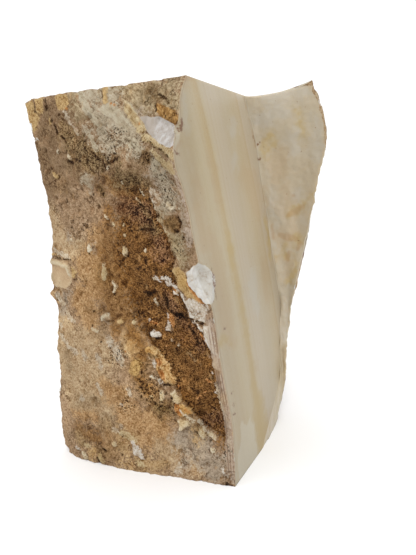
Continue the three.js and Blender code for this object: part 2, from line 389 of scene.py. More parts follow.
        [(-41.3, 110), (-39, 111.3), (-36.6, 108.5), (-36.3, 104.5), (-38.3, 100.8), (-39.9, 103.5),
         (-40.9, 106.5)], [(-50.5, 80, 1), (-48.3, 77.5, 1.4)],
        [(-50, 73.5), (-47.5, 74), (-45.8, 70), (-45.5, 66.5), (-47.5, 66.5), (-49.8, 69.5)],
        [(-42, 50.6), (-38.6, 50.6), (-36.8, 48), (-35.6, 45), (-36.6, 41.8), (-39.2, 42), (-41, 45.5)],
        [(-33.5, 46.2, 0.9), (-31, 43.8, 0.8)], [(-72, 84.5, 0.9)], [(-38, 62, 0.9)],
        [(-55, 104, 1), (-51, 103, 1)], [(-44, 88, 0.8)], [(-33.3, 128.5, 1), (-31, 126.5, 1.2)],
        [(-19, 99, 0.8), (-15.5, 93, 0.9)],
        [(-20.6, 133, 0.6), (-19.2, 127, 0.7), (-16.2, 122.5, 0.8), (-13.5, 119.5, 0.7)],
        [(-67, 239.5, 1)], [(-64, 238, 0.8)], [(-26, 54, 0.5), (-20, 60, 0.5)],
        [(-18, 68, 0.9), (-16, 67, 0.9)], [(-47, 226, 0.8)], [(-101, 240, 1)], [(-28, 82, 0.8)],
    ],
    "white": [
        [(-52.5, 98.8), (-49.5, 98), (-47.2, 96), (-48.3, 94.3), (-51, 94.3), (-54.3, 94.8),
         (-55.4, 97)], [(-42.8, 111.3), (-41, 110.8), (-40.9, 107.8)],
        [(-41.5, 105.8), (-39.8, 103), (-39.2, 99.4), (-41, 98.8), (-44.4, 98.4), (-43.7, 101),
         (-42.3, 103.5)],
        [(-37.5, 132.3), (-34.5, 132.8), (-31, 131.5), (-28.8, 128.5), (-26.5, 124.5), (-24.3, 120.5),
         (-26, 119.5), (-28.5, 124), (-30.5, 127.8), (-33.5, 130), (-37, 130)],
        [(-33.8, 127), (-31, 126.3), (-31, 123.6), (-33.8, 124.6)],
        [(-25.5, 120.3), (-22.5, 122.6), (-18.5, 122), (-16.5, 120.3), (-13.5, 119), (-10.8, 119.6),
         (-10.6, 116), (-12, 113), (-13.8, 110), (-14.5, 107), (-17, 108.5), (-20, 109.2), (-23, 110.2),
         (-24, 114), (-25.8, 117)], [(-23.5, 107.8), (-20, 107.6), (-20.5, 105.8), (-23.3, 106)],
        [(-20, 105.5, 0.8), (-17, 101.8, 0.8)],
        [(-15.7, 105.5), (-11, 105.5), (-8.8, 99), (-8.3, 92), (-8, 87), (-10.5, 87), (-13, 91),
         (-15, 96), (-15.4, 101)], [(-37, 46, 0.7), (-35, 43, 0.8), (-31.5, 40, 0.8), (-29, 38.3, 0.8)],
        [(-25.5, 38.7, 0.7), (-23, 36.2, 0.8), (-19, 32.6, 0.8)],
        [(-43.5, 135.5, 0.9), (-41, 132.5, 0.8)], [(-39, 135.3, 1), (-34.5, 134.3, 1.2)],
        [(-55.5, 105, 1)], [(-52.3, 79.5, 0.9), (-51.6, 75, 1.1)], [(-55.2, 81, 0.7)],
        [(-55, 68.5, 0.9), (-52.5, 67, 0.9)], [(-50, 66.2, 0.9), (-48.3, 64.2, 0.9)],
        [(-74.5, 20.5), (-71, 21), (-68, 18), (-66, 14), (-63.5, 9), (-66, 8.5), (-68.5, 11),
         (-72, 11.5), (-72.5, 16)], [(-9, 10, 0.8), (-7, 6, 0.8)],
        [(-134.5, 224.5, 0.8), (-131, 224.5, 0.7)], [(-121, 8, 1), (-118, 7, 1)], [(-13, 74, 0.7)],
        [(-12.5, 59.5, 0.9)],
    ],
    # The holes' dark brown, with painted shade in them.
    "hole": [
        [(-33, 170), (-29, 172), (-24, 173), (-20.5, 171), (-19.5, 168), (-21.5, 163.5), (-25, 162.5),
         (-28, 166), (-32, 167)],
        [(-43, 209.5), (-38.5, 210.5), (-36.5, 206), (-37, 201.5), (-40.5, 202), (-43.5, 205)],
        [(-81, 192.5), (-77, 193), (-74.5, 189.5), (-73, 186), (-76.5, 185), (-79, 188)],
        [(-17.5, 223.8), (-15, 222.6), (-12.5, 219), (-12.4, 216), (-14.2, 217), (-15.6, 219.5)],
        [(-52, 166), (-46, 167.5), (-38, 166.5), (-34, 163), (-38, 161.5), (-46, 163), (-52, 163.5)],
        [(-51, 181, 1), (-48, 177, 1.3), (-44, 172, 1.4), (-40, 168, 1)],
        [(-102, 209, 0.3), (-94, 207.5, 0.5)], [(-28, 85, 1.2), (-25, 81, 1.2)],
        [(-44, 64, 1), (-42, 62.6, 1)], [(-53.5, 82, 1), (-51.5, 81.5, 0.9)],
    ],
    "black": [
        [(-57, 124, 0.9), (-52, 123.5, 1.1), (-47, 125.5, 1.2)],
        [(-41, 124, 0.8), (-40, 119, 1.1), (-40, 115, 1)],
        [(-38, 112.5, 0.9), (-35, 110.5, 1.1), (-31, 110.5, 1.3), (-27, 108.5, 1.1), (-24.5, 109, 1)],
        [(-26, 104, 0.8), (-23, 98, 1), (-21.5, 92, 0.9)], [(-50, 179.5, 1), (-48, 177, 0.8)],
        [(-43.5, 175, 0.9)], [(-44, 171, 0.8), (-40, 165, 0.9)], [(-51, 164.5, 0.6), (-40, 164.5, 0.8)],
        [(-22.5, 172, 0.5), (-20.2, 169, 0.8), (-20.6, 166, 0.5)],
        [(-24, 164.5, 0.4), (-22.5, 163.8, 0.9)], [(-64, 66, 0.8)], [(-61.5, 63.5, 1)],
        [(-63, 60, 0.8)], [(-59, 62, 0.9)], [(-58, 58.5, 1)], [(-61, 56, 0.8)], [(-55, 60.5, 0.9)],
        [(-53.5, 57, 0.7)], [(-56.5, 53, 0.9)], [(-60, 51, 0.9)], [(-63.5, 53, 0.8)],
        [(-52, 52.5, 0.6)], [(-54.5, 49, 0.9)], [(-58.5, 47, 0.8)], [(-50.5, 47.5, 0.9)],
        [(-47.5, 50, 0.7)], [(-45, 47, 1)], [(-49, 44, 0.7)], [(-66.5, 57.5, 0.7)],
        [(-51.5, 62.5, 0.7)], [(-56, 66, 0.8)], [(-60.5, 70.5, 0.9)], [(-68, 62, 0.6)],
        [(-57, 76, 0.7)], [(-42, 51.5, 0.7)], [(-19, 160, 0.7)], [(-40.5, 208.5, 0.6)],
        [(-38.6, 204, 0.9)], [(-79, 191, 0.6)], [(-76, 187, 0.8)],
        [(-102, 208, 0.8), (-98, 206.5, 0.9)], [(-96, 208.5, 0.6), (-90, 207, 0.6)],
        [(-113, 232, 0.8), (-110.5, 226, 0.8)], [(-107, 224, 0.4), (-103, 219.5, 0.4)],
        [(-73, 207, 0.7), (-70.5, 202, 0.8)], [(-80, 212, 0.4), (-75, 206, 0.5)],
        [(-121, 247.5, 0.9), (-120, 242, 1)], [(-115, 234, 0.8)], [(-108, 237, 0.7)],
        [(-108.5, 183, 1)], [(-105, 170, 0.8)], [(-106, 166.5, 0.7)], [(-120, 167, 0.7)],
        # These three strokes are painted shade: under the pale streak above them, and beside and below
        # the pale lump at x -91, z 152.
        [(-78, 167.5, 0.5), (-71, 167.5, 0.6)], [(-89, 153.5, 0.7)], [(-92, 148.7, 0.6)],
        [(-84, 187, 0.7)], [(-120, 205, 0.7)], [(-100, 225, 0.7)], [(-26, 82, 0.8)], [(-20, 78, 0.6)],
        [(-14, 70, 0.7)], [(-47, 63, 0.7), (-43, 63, 0.8)], [(-52.3, 82, 0.7)], [(-60.8, 71.5, 0.7)],
        [(-28, 31, 0.6), (-25, 30, 0.6)], [(-18, 26.5, 0.8)], [(-84, 104.5, 0.6), (-79.5, 104, 0.6)],
        [(-97, 100, 0.7)], [(-91, 89, 0.6)], [(-108.5, 130.8, 0.6), (-106.5, 131.5, 0.6)],
        [(-81, 10, 0.6)], [(-97, 11, 0.6), (-94, 10, 0.6)], [(-94, 110, 0.8)], [(-80, 138, 0.6)],
        [(-57, 140, 0.5), (-54, 140.5, 0.5)],
        [(-40, 215.5, 0.4), (-32, 211, 0.4), (-27, 209, 0.4), (-20, 205, 0.4)], [(-26, 227.5, 0.6)],
        [(-35, 236, 0.6), (-33.5, 232, 0.5)], [(-18.5, 107.5, 0.8), (-16.5, 106, 0.8)],
        # Its second stroke is painted shade along the plate's upper rim.
        [(-42.5, 53.5, 0.7)], [(-126, 145.2, 0.4), (-109, 144, 0.4)], [(-6, 1, 0.6), (0, 0, 0.7)],
        [(-67, 205, 0.9), (-62, 207, 0.7)], [(-101, 4, 0.7), (-100, 0, 0.8)], [(-73, 84, 0.6)],
        [(-73, 80, 0.6)], [(-46, 57, 0.7)], [(-33, 241, 0.5), (-27, 237, 0.5)], [(-16, 222, 0.7)],
        [(-77.5, 122.5, 0.7)], [(-131, 247, 0.5), (-130.8, 242, 0.6)], [(-125.5, 108, 0.7)],
        [(-30, 60, 0.5), (-26, 57, 0.5)], [(-36, 33, 0.5)], [(-48, 146, 0.4)], [(-26.5, 171, 0.4)],
        [(-44, 98, 0.4), (-39.5, 97.5, 0.4)], [(-52, 93.5, 0.5), (-48, 93.5, 0.5)],
    ],
    "pores": [
        [(-64, 72, 3), (-60, 60, 6), (-52, 50, 6), (-45, 47, 4)], [(-41, 206, 3)],
        [(-50, 178, 6), (-42, 168, 7)], [(-27, 186, 4)], [(-24, 154, 6)], [(-75, 206, 3)],
        [(-40, 116, 5)], [(-22, 90, 5)], [(-62, 222, 3)], [(-78, 82, 6)], [(-30, 194, 5)],
        [(-6, 20, 6)], [(-76, 44, 5)], [(-66, 206, 5)], [(-96, 165, 4)],
    ],
    "crystal": [
        [(-46, 229.5), (-42, 230), (-38, 228.6), (-31, 228), (-25, 225), (-19.5, 222.5), (-15.5, 218.5),
         (-12.8, 214), (-14.5, 210.8), (-19, 209.8), (-24, 211), (-29, 213.4), (-35, 217),
         (-40.5, 221)],
    ],
    # Painted shade on the crust: darker washes where it should look darker.
    "shaded": [
        [(-32, 177, 3), (-33, 169, 5)], [(-30, 132, 3)],
        [(-118, 236, 6), (-102, 236, 2), (-86, 234, 3)], [(-86, 224, 3)],
        [(-118, 216, 5), (-108, 208, 8)], [(-105, 216, 3)],
        [(-46, 204, 4), (-34, 203, 6), (-24, 202, 6)], [(-34, 194, 6), (-24, 196, 5)], [(-24, 183, 3)],
        [(-66, 196, 5), (-54, 194, 8)], [(-86, 196, 4), (-75, 195, 5)], [(-127, 186, 6)],
        [(-106, 186, 4)], [(-106, 168, 3)], [(-46, 164, 4)], [(-26, 160, 7)], [(-36, 106, 5)],
        [(-50, 44, 6)], [(-26, 46, 6), (-25, 34, 6)], [(-116, 17, 6)],
        [(-65, 175, 4), (-65, 184, 2)], [(-96, 8, 6)], [(-95, 34, 4), (-86, 32, 4)],
        [(-114, 45, 4), (-98, 45, 4)], [(-96, 25, 4)], [(-76, 225, 5)], [(-20, 165, 2), (-17, 145, 5)],
        [(-85, 135, 5)], [(-88, 98, 4), (-84, 106, 3)], [(-65, 115, 4)], [(-95, 110, 4)],
        [(-82, 15, 4)], [(-122, 75, 4), (-122, 65, 4)], [(-45, 116, 4)], [(-38, 84, 4)], [(-34, 84, 3)],
    ],
    # Painted light on the crust: lighter washes where it should look brighter.
    "bleached": [
        [(-19, 103, 4)], [(-79, 177, 4), (-81, 169, 4)], [(-25, 21, 4)], [(-45, 108, 3)],
        [(-32, 238, 3)], [(-121, 193, 3)],
        [(-56, 245, 5)], [(-86, 175, 3)], [(-116, 145, 3), (-104, 145, 3)],
        [(-126, 114, 2), (-116, 104, 2), (-128, 96, 4)], [(-54, 105, 4), (-44, 105, 4), (-44, 96, 4)],
        [(-47, 78, 2), (-42, 66, 3)], [(-104, 226, 4), (-96, 222, 2)], [(-37, 75, 2), (-34, 65, 4)],
        [(-56, 62, 6), (-55, 54, 6)], [(-36, 125, 6)], [(-36, 15, 5), (-26, 6, 5)], [(-76, 5, 4)],
        [(-57, 206, 3)], [(-55, 184, 5)], [(-46, 145, 6), (-36, 146, 6), (-36, 156, 3)],
        [(-66, 92, 4), (-70, 84, 4)], [(-74, 64, 4), (-74, 55, 3)], [(-115, 195, 5)], [(-86, 205, 4)],
        [(-132, 24, 4), (-128, 45, 4)], [(-128, 86, 4)],
    ],
    "warmed": [
        [(-23.5, 133, 4)], [(-7, 56, 3)], [(-13, 79, 4)], [(-72, 74, 3)],
        [(-66, 106, 5), (-64, 92, 8), (-62, 76, 9), (-60, 60, 9), (-50, 46, 8)],
        [(-36, 55, 5), (-34, 38, 5), (-24, 34, 4)], [(-92, 24, 6), (-92, 10, 7), (-104, 6, 4)],
        [(-36, 170, 5), (-26, 158, 5), (-20, 146, 4)], [(-84, 136, 6)], [(-30, 104, 4), (-24, 92, 3)],
        [(-68, 166, 4), (-68, 116, 4)],
    ],
}
# The dark earthy trough, with its left and right ends at some heights.
soil = {
    "sharp": 2.5,          # half the breadth of its soft ends beside the chips, in millimetres
    "faded": 10,           # added to that at the left end, from the first of these heights up
    "fadedFrom": (92, 118),
    "foot": (24, 31),      # it begins between these heights, and ends between those of its head,
    "head": (202, 176),    # which falls to the right
    "headFall": 0.2,
    "wander": 2,
    "heights": [27, 33, 38, 43, 50, 60, 70, 80, 90, 100, 110, 120, 130, 150, 170, 180, 192],
    "left": [-8, -16, -25, -31, -35, -40, -45, -49.5, -55, -60, -64.5, -70, -72, -70, -69, -64, -58],
    "right": [-5, -6, -6, -7, -8.5, -9.5, -10.5, -11, -12.5, -18, -23.5, -28, -29, -28, -33, -38, -41],
}
# Domes on the front crust, and hollows where the height is negative: x, z, radii along both, height.
domes = [
    (-64, 73, 4.6, 6.5, 2.2), (-52, 96.5, 3.6, 3, 2), (-75, 104.5, 3, 2.6, 1.4),
    (-37, 33, 2.2, 2.2, 1.6), (-31, 231, 4, 3.5, 1.8), (-25, 230, 4.5, 4, 1.8), (-20, 227, 4, 4.5, 1.7),
    (-27, 226, 4, 3, 1.0), (-46, 228, 3.4, 3, 1), (-36, 227.5, 3.6, 3, 1), (-86, 17, 3.4, 3, 1.2),
    (-116, 15, 4, 3.5, 1.4), (-106, 5, 4.5, 5, 1.3), (-96, 5, 5, 5, 1.1), (-91, 152, 3, 4, 1.3),
    (-84, 107, 5, 3.5, 1.6), (-25, 168, 7, 6, -0.9), (-27, 170, 4, 3, 0.9), (-40, 205, 4, 5, -0.9),
    (-50, 124, 6, 3, -1.2), (-99, 208, 5, 2.5, -0.6), (-77, 189, 4, 4, -0.6), (-36, 37, 5, 4.5, 1.2),
    (-22, 31, 4, 4.5, 1.4), (-68, 14, 5, 7, 0.9), (-46, 76, 4.5, 5, 1), (-84, 136, 2.4, 8, 1),
    (-66, 151, 3, 4, 0.8), (-30, 130, 6, 4, 1.0), (-20, 110, 5, 5, 0.8),
]
# The left end's outline: how far left it reaches at some heights.
leftEnd = {
    "heights": [
        0, 5, 12, 45, 50, 54, 60, 66, 72, 78, 84, 90, 96, 104, 110, 114, 116.5, 118, 119.5, 121.5, 126,
        132, 138, 144, 150, 156, 162, 170, 180, 186, 192, 198, 204, 210, 216, 222, 223.5, 225, 226.5,
        234, 240, 246, 250,
    ],
    "reach": [
        -135, -138.5, -139.4, -139.4, -138.5, -137, -135.5, -135.7, -136, -137.8, -137.2, -135.4,
        -133.4, -132.4, -132.8, -134, -136.8, -138.6, -138.2, -135.6, -133.9, -133.6, -133, -133.2,
        -132, -131, -130.4, -130.5, -131.2, -131.6, -132.5, -134, -134.6, -135.2, -135.6, -136.8,
        -135.4, -135.2, -137.2, -138.2, -139, -139.4, -138.5,
    ],
}
tints = {   # on the saw cut, the break and the split: colour and greatest share
    "milk": ((186, 179, 164), 0.55),
    "amber": ((180, 157, 122), 0.45),
    "honey": ((180, 157, 104), 0.75),
    "foam": ((198, 191, 174), 0.6),
    "tawny": ((166, 132, 88), 0.45),
}
# Their strokes on the saw cut, (depth, z, half width), and on the break, (x, z, half width).
sawStrokes = {
    "milk": [
        [(-10, 238, 4), (-11, 222, 3)], [(2, 24, 2), (3, 8, 2)], [(60, 224, 6)],
        [(66, 120, 7), (70, 96, 6)], [(56, 206, 5)],
    ],
    "amber": [
        [(70, 192, 8), (86, 187, 12), (90, 170, 10)], [(110, 150, 3), (113, 124, 3)],
        [(-6, 190, 4), (-4, 154, 5)], [(4, 158, 6), (13, 132, 10), (16, 106, 9), (20, 88, 5)],
        [(18, 204, 4), (24, 176, 4)], [(94, 126, 8), (94, 104, 6)], [(62, 8, 8), (74, 13, 6)],
        [(54, 60, 4)], [(85, 249, 0.8), (91, 238, 1), (97, 224, 1.2), (102, 212, 1.6)],
        [(105, 188, 1.2), (107, 176, 1.8), (110, 160, 1.5)], [(-8, 249, 1.5), (-3, 248, 1.5)],
        [(-14, 240, 0.8), (-12, 232, 0.6)],
    ],
    "honey": [
        [(56, 4, 12), (54, 28, 9), (48, 50, 4)], [(4, 94, 2), (14, 92, 2)],
        [(31, 154, 2), (35, 140, 3.5), (39, 118, 3.5), (43, 92, 3), (48, 60, 2)],
        [(108, 160, 2), (112, 134, 2.4)], [(58, 6, 6)],
    ],
    "foam": [
        [(7, 0), (7.5, 9), (9, 17), (15, 20), (17, 25), (18, 32), (21.5, 35), (24, 31), (29, 28.5),
         (33, 30.5), (36.5, 32), (38, 27), (41, 23), (40, 14), (42, 8), (41, 0)], [(22, 8, 1)],
        [(-28, 223.5), (-18.6, 223.5), (-18, 219), (-18.6, 216), (-20, 212), (-22, 207), (-30, 207)],
    ],
    "tawny": [
        [(-6, 250, 3), (4, 250, 1.5)], [(-10, 247, 1.5), (-14, 240, 1.2)],
        [(-19, 213, 0.8), (-24, 208, 1)], [(84, 249, 0.5), (91, 238, 0.5)],
        [(96, 226, 0.6), (101, 214, 1)], [(106, 186, 0.5), (109, 168, 0.8), (111, 156, 0.5)],
        [(11, 92, 0.6), (15, 88, 0.5)], [(14, 101, 1)],
    ],
    "stain": [
        [(-15.5, 225.8), (-13.2, 225.6), (-12, 223), (-13, 220.5), (-15.4, 219), (-16, 216.8),
         (-17.4, 217.4), (-18.4, 221), (-16.4, 222.6)], [(10, 101, 0.8), (13, 100, 0.6)],
        [(46, 39, 0.8)], [(70, 80, 0.7)], [(2.5, 139, 0.9), (4, 134, 1), (6.5, 129, 0.6)],
        [(-1, 120.5, 0.7)], [(-26, 207, 0.8), (-22, 206, 0.6)], [(-24, 214, 0.8)], [(93, 238, 0.7)],
        [(96, 233, 0.6)], [(97, 222, 1.2)], [(100, 219, 0.8)], [(103, 217, 0.7)],
        [(103, 206, 1.3), (108, 206.5, 1)], [(-4, 155, 0.5)], [(4, 121, 0.8), (2, 134, 0.8)],
        [(10, 58, 0.5), (13, 58, 0.4)], [(10, 50, 0.6), (14, 49.5, 0.5)], [(9, 45, 0.5), (14, 43, 0.5)],
        [(-3, 143, 0.7)],
    ],
    "specks": [
        [(11, 50, 6)], [(66, 36, 6)], [(44, 50, 5)], [(96, 225, 5)],
    ],
}
breakStrokes = {
    "milk": [
        [(-4, 248, 3), (6, 248, 4), (16, 249, 3.5), (26, 249, 3)], [(14, 222, 3), (13, 212, 4)],
        [(30, 230, 4), (31, 208, 5)], [(-5, 184, 2), (-6, 166, 2.5), (-5, 150, 2)],
        [(0, 168, 1.5), (1, 158, 2)], [(12, 180, 4), (15, 158, 3)], [(-6.5, 160, 0.8), (-7, 136, 0.8)],
        [(-8, 236, 6), (4, 240, 6)], [(4, 104, 2), (3, 84, 3), (1.5, 64, 3)], [(3, 135, 1.5)],
    ],
    "amber": [
        [(-3, 146, 4), (2, 138, 5), (-2, 130, 4)], [(4, 124, 5), (0, 112, 4)], [(-2, 152, 2)],
        [(2, 206, 6), (-2, 192, 5)], [(4, 182, 6), (5, 164, 7), (7, 150, 6)], [(18, 166, 4)],
        [(-6, 204, 5)], [(-13.5, 186, 1), (-12.5, 172, 1.4), (-11, 158, 1)],
    ],
    "honey": [
        [(18, 236, 2), (19, 220, 2)], [(-4, 220, 4)],
        [(7, 164.5, 1.5), (10, 165.5, 2.6), (14, 168.5, 2)], [(18, 171, 1), (25, 177, 1)],
        [(9, 143, 2), (12.5, 140.5, 2.2)], [(1, 138, 1.4), (0.5, 132, 1.4)], [(-3, 134, 1.2)],
        [(9, 124, 0.7), (1, 108, 0.7)], [(-12, 212, 3)],
    ],
    "tawny": [
        [(-2, 147, 2.2), (3, 146, 3), (8, 144, 2)], [(12, 140, 2), (10, 136, 1)],
        [(5, 163, 1), (9, 165, 2.4), (13, 167, 2), (17, 170, 1.2)], [(-9, 156, 1), (-8, 146, 1)],
        [(3, 134, 1.4), (1, 127, 1.4)], [(38, 224, 1.2), (37, 214, 1.2)], [(10, 178, 1.2)],
    ],
    "stain": [
        [(-1, 231.5, 0.6)], [(29.5, 224.5, 0.6)], [(8.5, 209.5, 0.6)], [(18, 209.5, 0.5)],
        [(-1, 213, 0.5)], [(-14, 206, 1)], [(-12.5, 203, 0.6)], [(-16, 215, 0.6), (-13, 218, 0.5)],
        [(11, 143, 0.4)],
    ],
    "specks": [
        [(-12, 214, 4)], [(26, 238, 4)],
    ],
}
# Covers whose strokes have sharper, less wandering sides than the others.
fine = (
    "plate", "golden", "veil", "tawny", "straw", "frost", "butter", "ochre", "cream", "orange", "white",
    "hole", "black", "crystal", "foam", "stain",
)
# How far a stroke's side wanders slowly and quickly, and half the breadth of its soft end, in mm.
fineSide, broadSide = (0.2, 0.4, 1.5), (3, 2.5, 6)


def offStroke(u, w, stroke):
    # Distance out from the side of a line of straight pieces, in millimetres; negative inside it.
    nearest = np.full(u.shape, 99.0)
    for (au, aw, ah), (bu, bw, bh) in zip(stroke, stroke[1:] or stroke):
        run = max((bu - au) ** 2 + (bw - aw) ** 2, 1e-6)
        t = np.clip(((u - au) * (bu - au) + (w - aw) * (bw - aw)) / run, 0, 1)
        away = np.hypot(u - au - t * (bu - au), w - aw - t * (bw - aw)) - ah - t * (bh - ah)
        nearest = np.minimum(nearest, away)
    return nearest


def offOutline(u, w, outline):
    # Distance out from a closed outline, negative inside it, which is where a line off to the right
    # crosses it an odd number of times.
    inside = np.zeros(u.shape, bool)
    for (au, aw), (bu, bw) in zip(outline, [*outline[1:], outline[0]]):
        crossing = au + (w - aw) * (bu - au) / (bw - aw + 1e-9)
        inside ^= ((aw > w) != (bw > w)) & (u < crossing)
    nearest = offStroke(u, w, [(a, b, 0) for a, b in [*outline, outline[0]]])
    return np.where(inside, -nearest, nearest)


def painted(u, w, bend, crumble, strokes):
    # Soft shares, by name: one half at the side of a stroke or an outline, rising to 1 within it and
    # falling to 0 outside it. The sides wander with the two noises, each a pair of arrays.
    share = {}
    for name, lines in strokes.items():
        slow, quick, soft = fineSide if name in fine else broadSide
        across = u + slow * bend[0] + quick * crumble[0]
        upwards = w + slow * bend[1] + quick * crumble[1]
        away = np.full(u.shape, 99.0)
        for line in lines:
            off = offStroke if len(line[0]) == 3 else offOutline
            away = np.minimum(away, off(across, upwards, line))
        share[name] = np.clip(0.5 - away / (2 * soft), 0, 1)
    return share


def frontRegions(at):
    # The shares of everything on the front crust. The soil lies between its two ends, which are read
    # off by height at places moved by the two noises.
    x, z = at[..., 0], at[..., 2]
    flat = at * (1, 0, 1)
    bend = [clouds(flat, 22, seed, 2) for seed in (1, 3)]
    crumble = [clouds(flat, 6, seed, 3, 0.6) for seed in (2, 4)]
    share = painted(x, z, bend, crumble, crustStrokes)
    wx = x + soil["wander"] * (bend[0] + crumble[0])
    wz = z + soil["wander"] * (bend[1] + crumble[1])
    left = np.interp(wz, soil["heights"], soil["left"])
    right = np.interp(wz, soil["heights"], soil["right"])
    soft = soil["sharp"] + soil["faded"] * step(*soil["fadedFrom"], wz)
    within = np.clip(0.5 + (wx - left) / (2 * soft), 0, 1)
    within = within * np.clip(0.5 + (right - wx) / (2 * soil["sharp"]), 0, 1)
    leaning = wz + soil["headFall"] * (wx + 50)
    share["soil"] = within * step(*soil["foot"], wz) * step(*soil["head"], leaning)
    return share


def dome(u, w, places):
    # Half balls squeezed flat: the height times the root of one minus the squared distance share.
    lift = 0 * u
    for x, z, across, up, height in places:
        inside = np.clip(1 - ((u - x) / across) ** 2 - ((w - z) / up) ** 2, 0, 1)
        lift = lift + height * np.sqrt(inside)
    return lift


crustHeights = {   # how far what lies on the front crust stands out of it, in millimetres
    "soil": -2.0, "black": -0.8, "olive": -0.5, "crystal": -0.8, "cream": 1.2, "butter": 0.8,
    "straw": 0.5, "ochre": 0.6, "white": 0.8, "plate": 0.9, "pale": 0.5,
}


roughness = {   # layers: height and size in millimetres, then seed, octaves and their gain
    "lumps": [(1.0, 24, 60, 3, 0.5), (0.8, 6, 61, 4, 0.65)],
    "split": [(1.6, 24, 50, 3, 0.5), (0.5, 5, 51, 3, 0.6)],
}
smoother = ("white", "ochre", "butter", "cream", "strip")
sunk = {"crust": 0.3, "flank": 0.3, "back": 1.2, "split": 0.4}   # how far the rough skin is set back
# Pits, in millimetres: flat out to one radius and gone at the brim; the chance picks about a quarter.
pits = {"depth": 1.4, "apart": 7, "flat": 1.0, "brim": 3.0, "chance": (0.72, 0.85)}


def rough(name, at):
    # The sum of a roughness's layers of clouds.
    return sum(height * clouds(at, *layer) for height, *layer in roughness[name])


def pitted(at):
    # Round pits at some of the scattered points, shallower towards their brims.
    near, own = cells(at + 2 * clouds(at, 9, 62)[..., None], pits["apart"], 63)
    return -pits["depth"] * step(*pits["chance"], own) * step(pits["brim"], pits["flat"], near)


def reliefOf(name, at, s, v):
    # How far the rough skin stands out from the large shape, in millimetres: noises of two or three
    # sizes, pits in some cells, and on the front crust a height for each thing that lies on it.
    if name == "sawn":
        return 0 * s + 0 * v
    if name == "broken":
        shell = 0.8 * clouds(at * (1, 1, 0.6), 15, 40, 2) + 0.3 * clouds(at, 4, 41, 2)
        facets = 1.6 * clouds(at, 11, 42, 2) * step(120, 70, at[..., 2])   # broken steps near the foot
        return (shell + facets) * step(0, 0.1, s)
    if name == "split":
        return rough("split", at) - sunk[name]
    lumps = rough("lumps", at) + pitted(at)
    if name == "flank":
        return 0.7 * lumps - sunk[name]
    if name == "back":
        return lumps - sunk[name]
    share = frontRegions(at)
    sharp = {cover: step(0.4, 0.65, values) for cover, values in share.items()}
    raised = sum(height * sharp[cover] for cover, height in crustHeights.items())
    raised = raised + 0.5 * sharp["strip"] * (1 - sharp["soil"])
    smooth = np.maximum.reduce([sharp[cover] for cover in smoother])
    calm = (1 - 0.45 * smooth) * (1 - 0.8 * np.maximum(sharp["plate"], sharp["crystal"]))
    skin = lumps * calm + raised + dome(at[..., 0], at[..., 2], domes) - sunk[name]
    return skin * (0.35 + 0.65 * step(1, 0.93, s))   # calmer at the sawn corner


def graded(count, crowd, closed=False):
    # Shares from 0 to 1, crowded towards both ends: the step at an end is 1 - crowd of the mean step.
    t = np.linspace(0, 1, count + 1)
    s = t - crowd * np.sin(2 * np.pi * t) / (2 * np.pi)
    return s if closed else s[:-1]


def outOf(side):
    # The way a side swells, as a level move.
    return np.array([*side["out"], 0])


def atEdge(side, s, v, line):
    # The side's outward roughness along one of its edges, as a move of each point of that edge.
    return reliefOf(side["name"], line, np.full(len(v), s), v)[:, None] * outOf(side)


def edgeMoves(lines, v):
    # How each upright edge moves: by both its sides' roughness there, and the left end to its outline.
    moves = {}
    for before, after in zip([sides[-1], *sides[:-1]], sides):
        line = lines[after["left"]]
        moves[after["left"]] = atEdge(before, 1.0, v, line) + atEdge(after, 0.0, v, line)
    moves["valley"][:, 1] += 1.0 * clouds(lines["valley"], 12, 70, 3)
    end = lines["crustLeft"]
    reach = np.interp(end[:, 2], leftEnd["heights"], leftEnd["reach"]) + 0.5 * clouds(end, 3, 71, 2)
    moves["crustLeft"][:, 0] = reach - end[:, 0]
    return moves


def sideGrid(side, s, v, lines, moves):
    # One side's rows of points: a straight line between two edges, plus the swell and the roughness,
    # which fades near an edge into that edge's own move.
    left, right = lines[side["left"]][:, None], lines[side["right"]][:, None]
    out = outOf(side)
    points = left + (right - left) * s[..., None]
    points = points + swellOf(side["name"], s, v[:, None])[..., None] * out
    width = np.linalg.norm(right - left, axis=-1)
    lift = reliefOf(side["name"], points, s, v[:, None])[..., None] * out
    ends = zip(("left", "right"), (0.0, 1.0), (s, 1 - s), side["reach"])
    for edge, end, away, reach in ends:
        ease = np.clip(1 - away * width / reach, 0, 1)[..., None] ** 2
        own = atEdge(side, end, v, lines[side[edge]])[:, None]
        lift = lift + ease * (moves[side[edge]][:, None] - own)
    points = points + lift
    if side["name"] == "broken":   # the top edge sags between the sawn top and the tip
        points[..., 2] -= block["crestDip"] * arch(s, 0.75) * step(0.9, 1, v[:, None]) ** 2
    if side["name"] == "crust":    # and the crust's top edge is nibbled
        points[..., 2] -= 0.9 * np.clip(clouds(points, 7, 72, 3), 0, 1) * step(0.985, 1, v[:, None])
    return points


def stoneRows(v):
    # The skin's rows of points at the shares v of the height, with each point's side and its share
    # along that side.
    lines = {name: smoothLine(points, v) for name, points in edges.items()}
    moves = edgeMoves(lines, v)
    grid, kinds, shares = [], [], []
    for index, side in enumerate(sides):
        s = graded(side["columns"], side["crowd"])[None, :]
        points = sideGrid(side, s, v, lines, moves)
        grid.append(points)
        kinds.append(np.full(points.shape[:2], index))
        shares.append(np.broadcast_to(s, points.shape[:2]))
    return np.concatenate(grid, 1), np.concatenate(kinds, 1), np.concatenate(shares, 1)


def levelRings(rim, middle, level, count):
    # Rings of a level face from its rim inwards, closest together at the rim: the rim drawn in towards
    # the middle, coming level within the outer part.
    inwards = 2 * graded(2 * count, block["ringCrowd"])[1:count + 1]
    shares = 1 - (1 - block["innermost"]) * inwards
    centre = np.array([*middle, level])
    rings = centre + (rim - centre) * shares[:, None, None]
    rings[..., 2] = level + (rim[:, 2] - level) * shares[:, None] ** block["levelling"]
    return rings


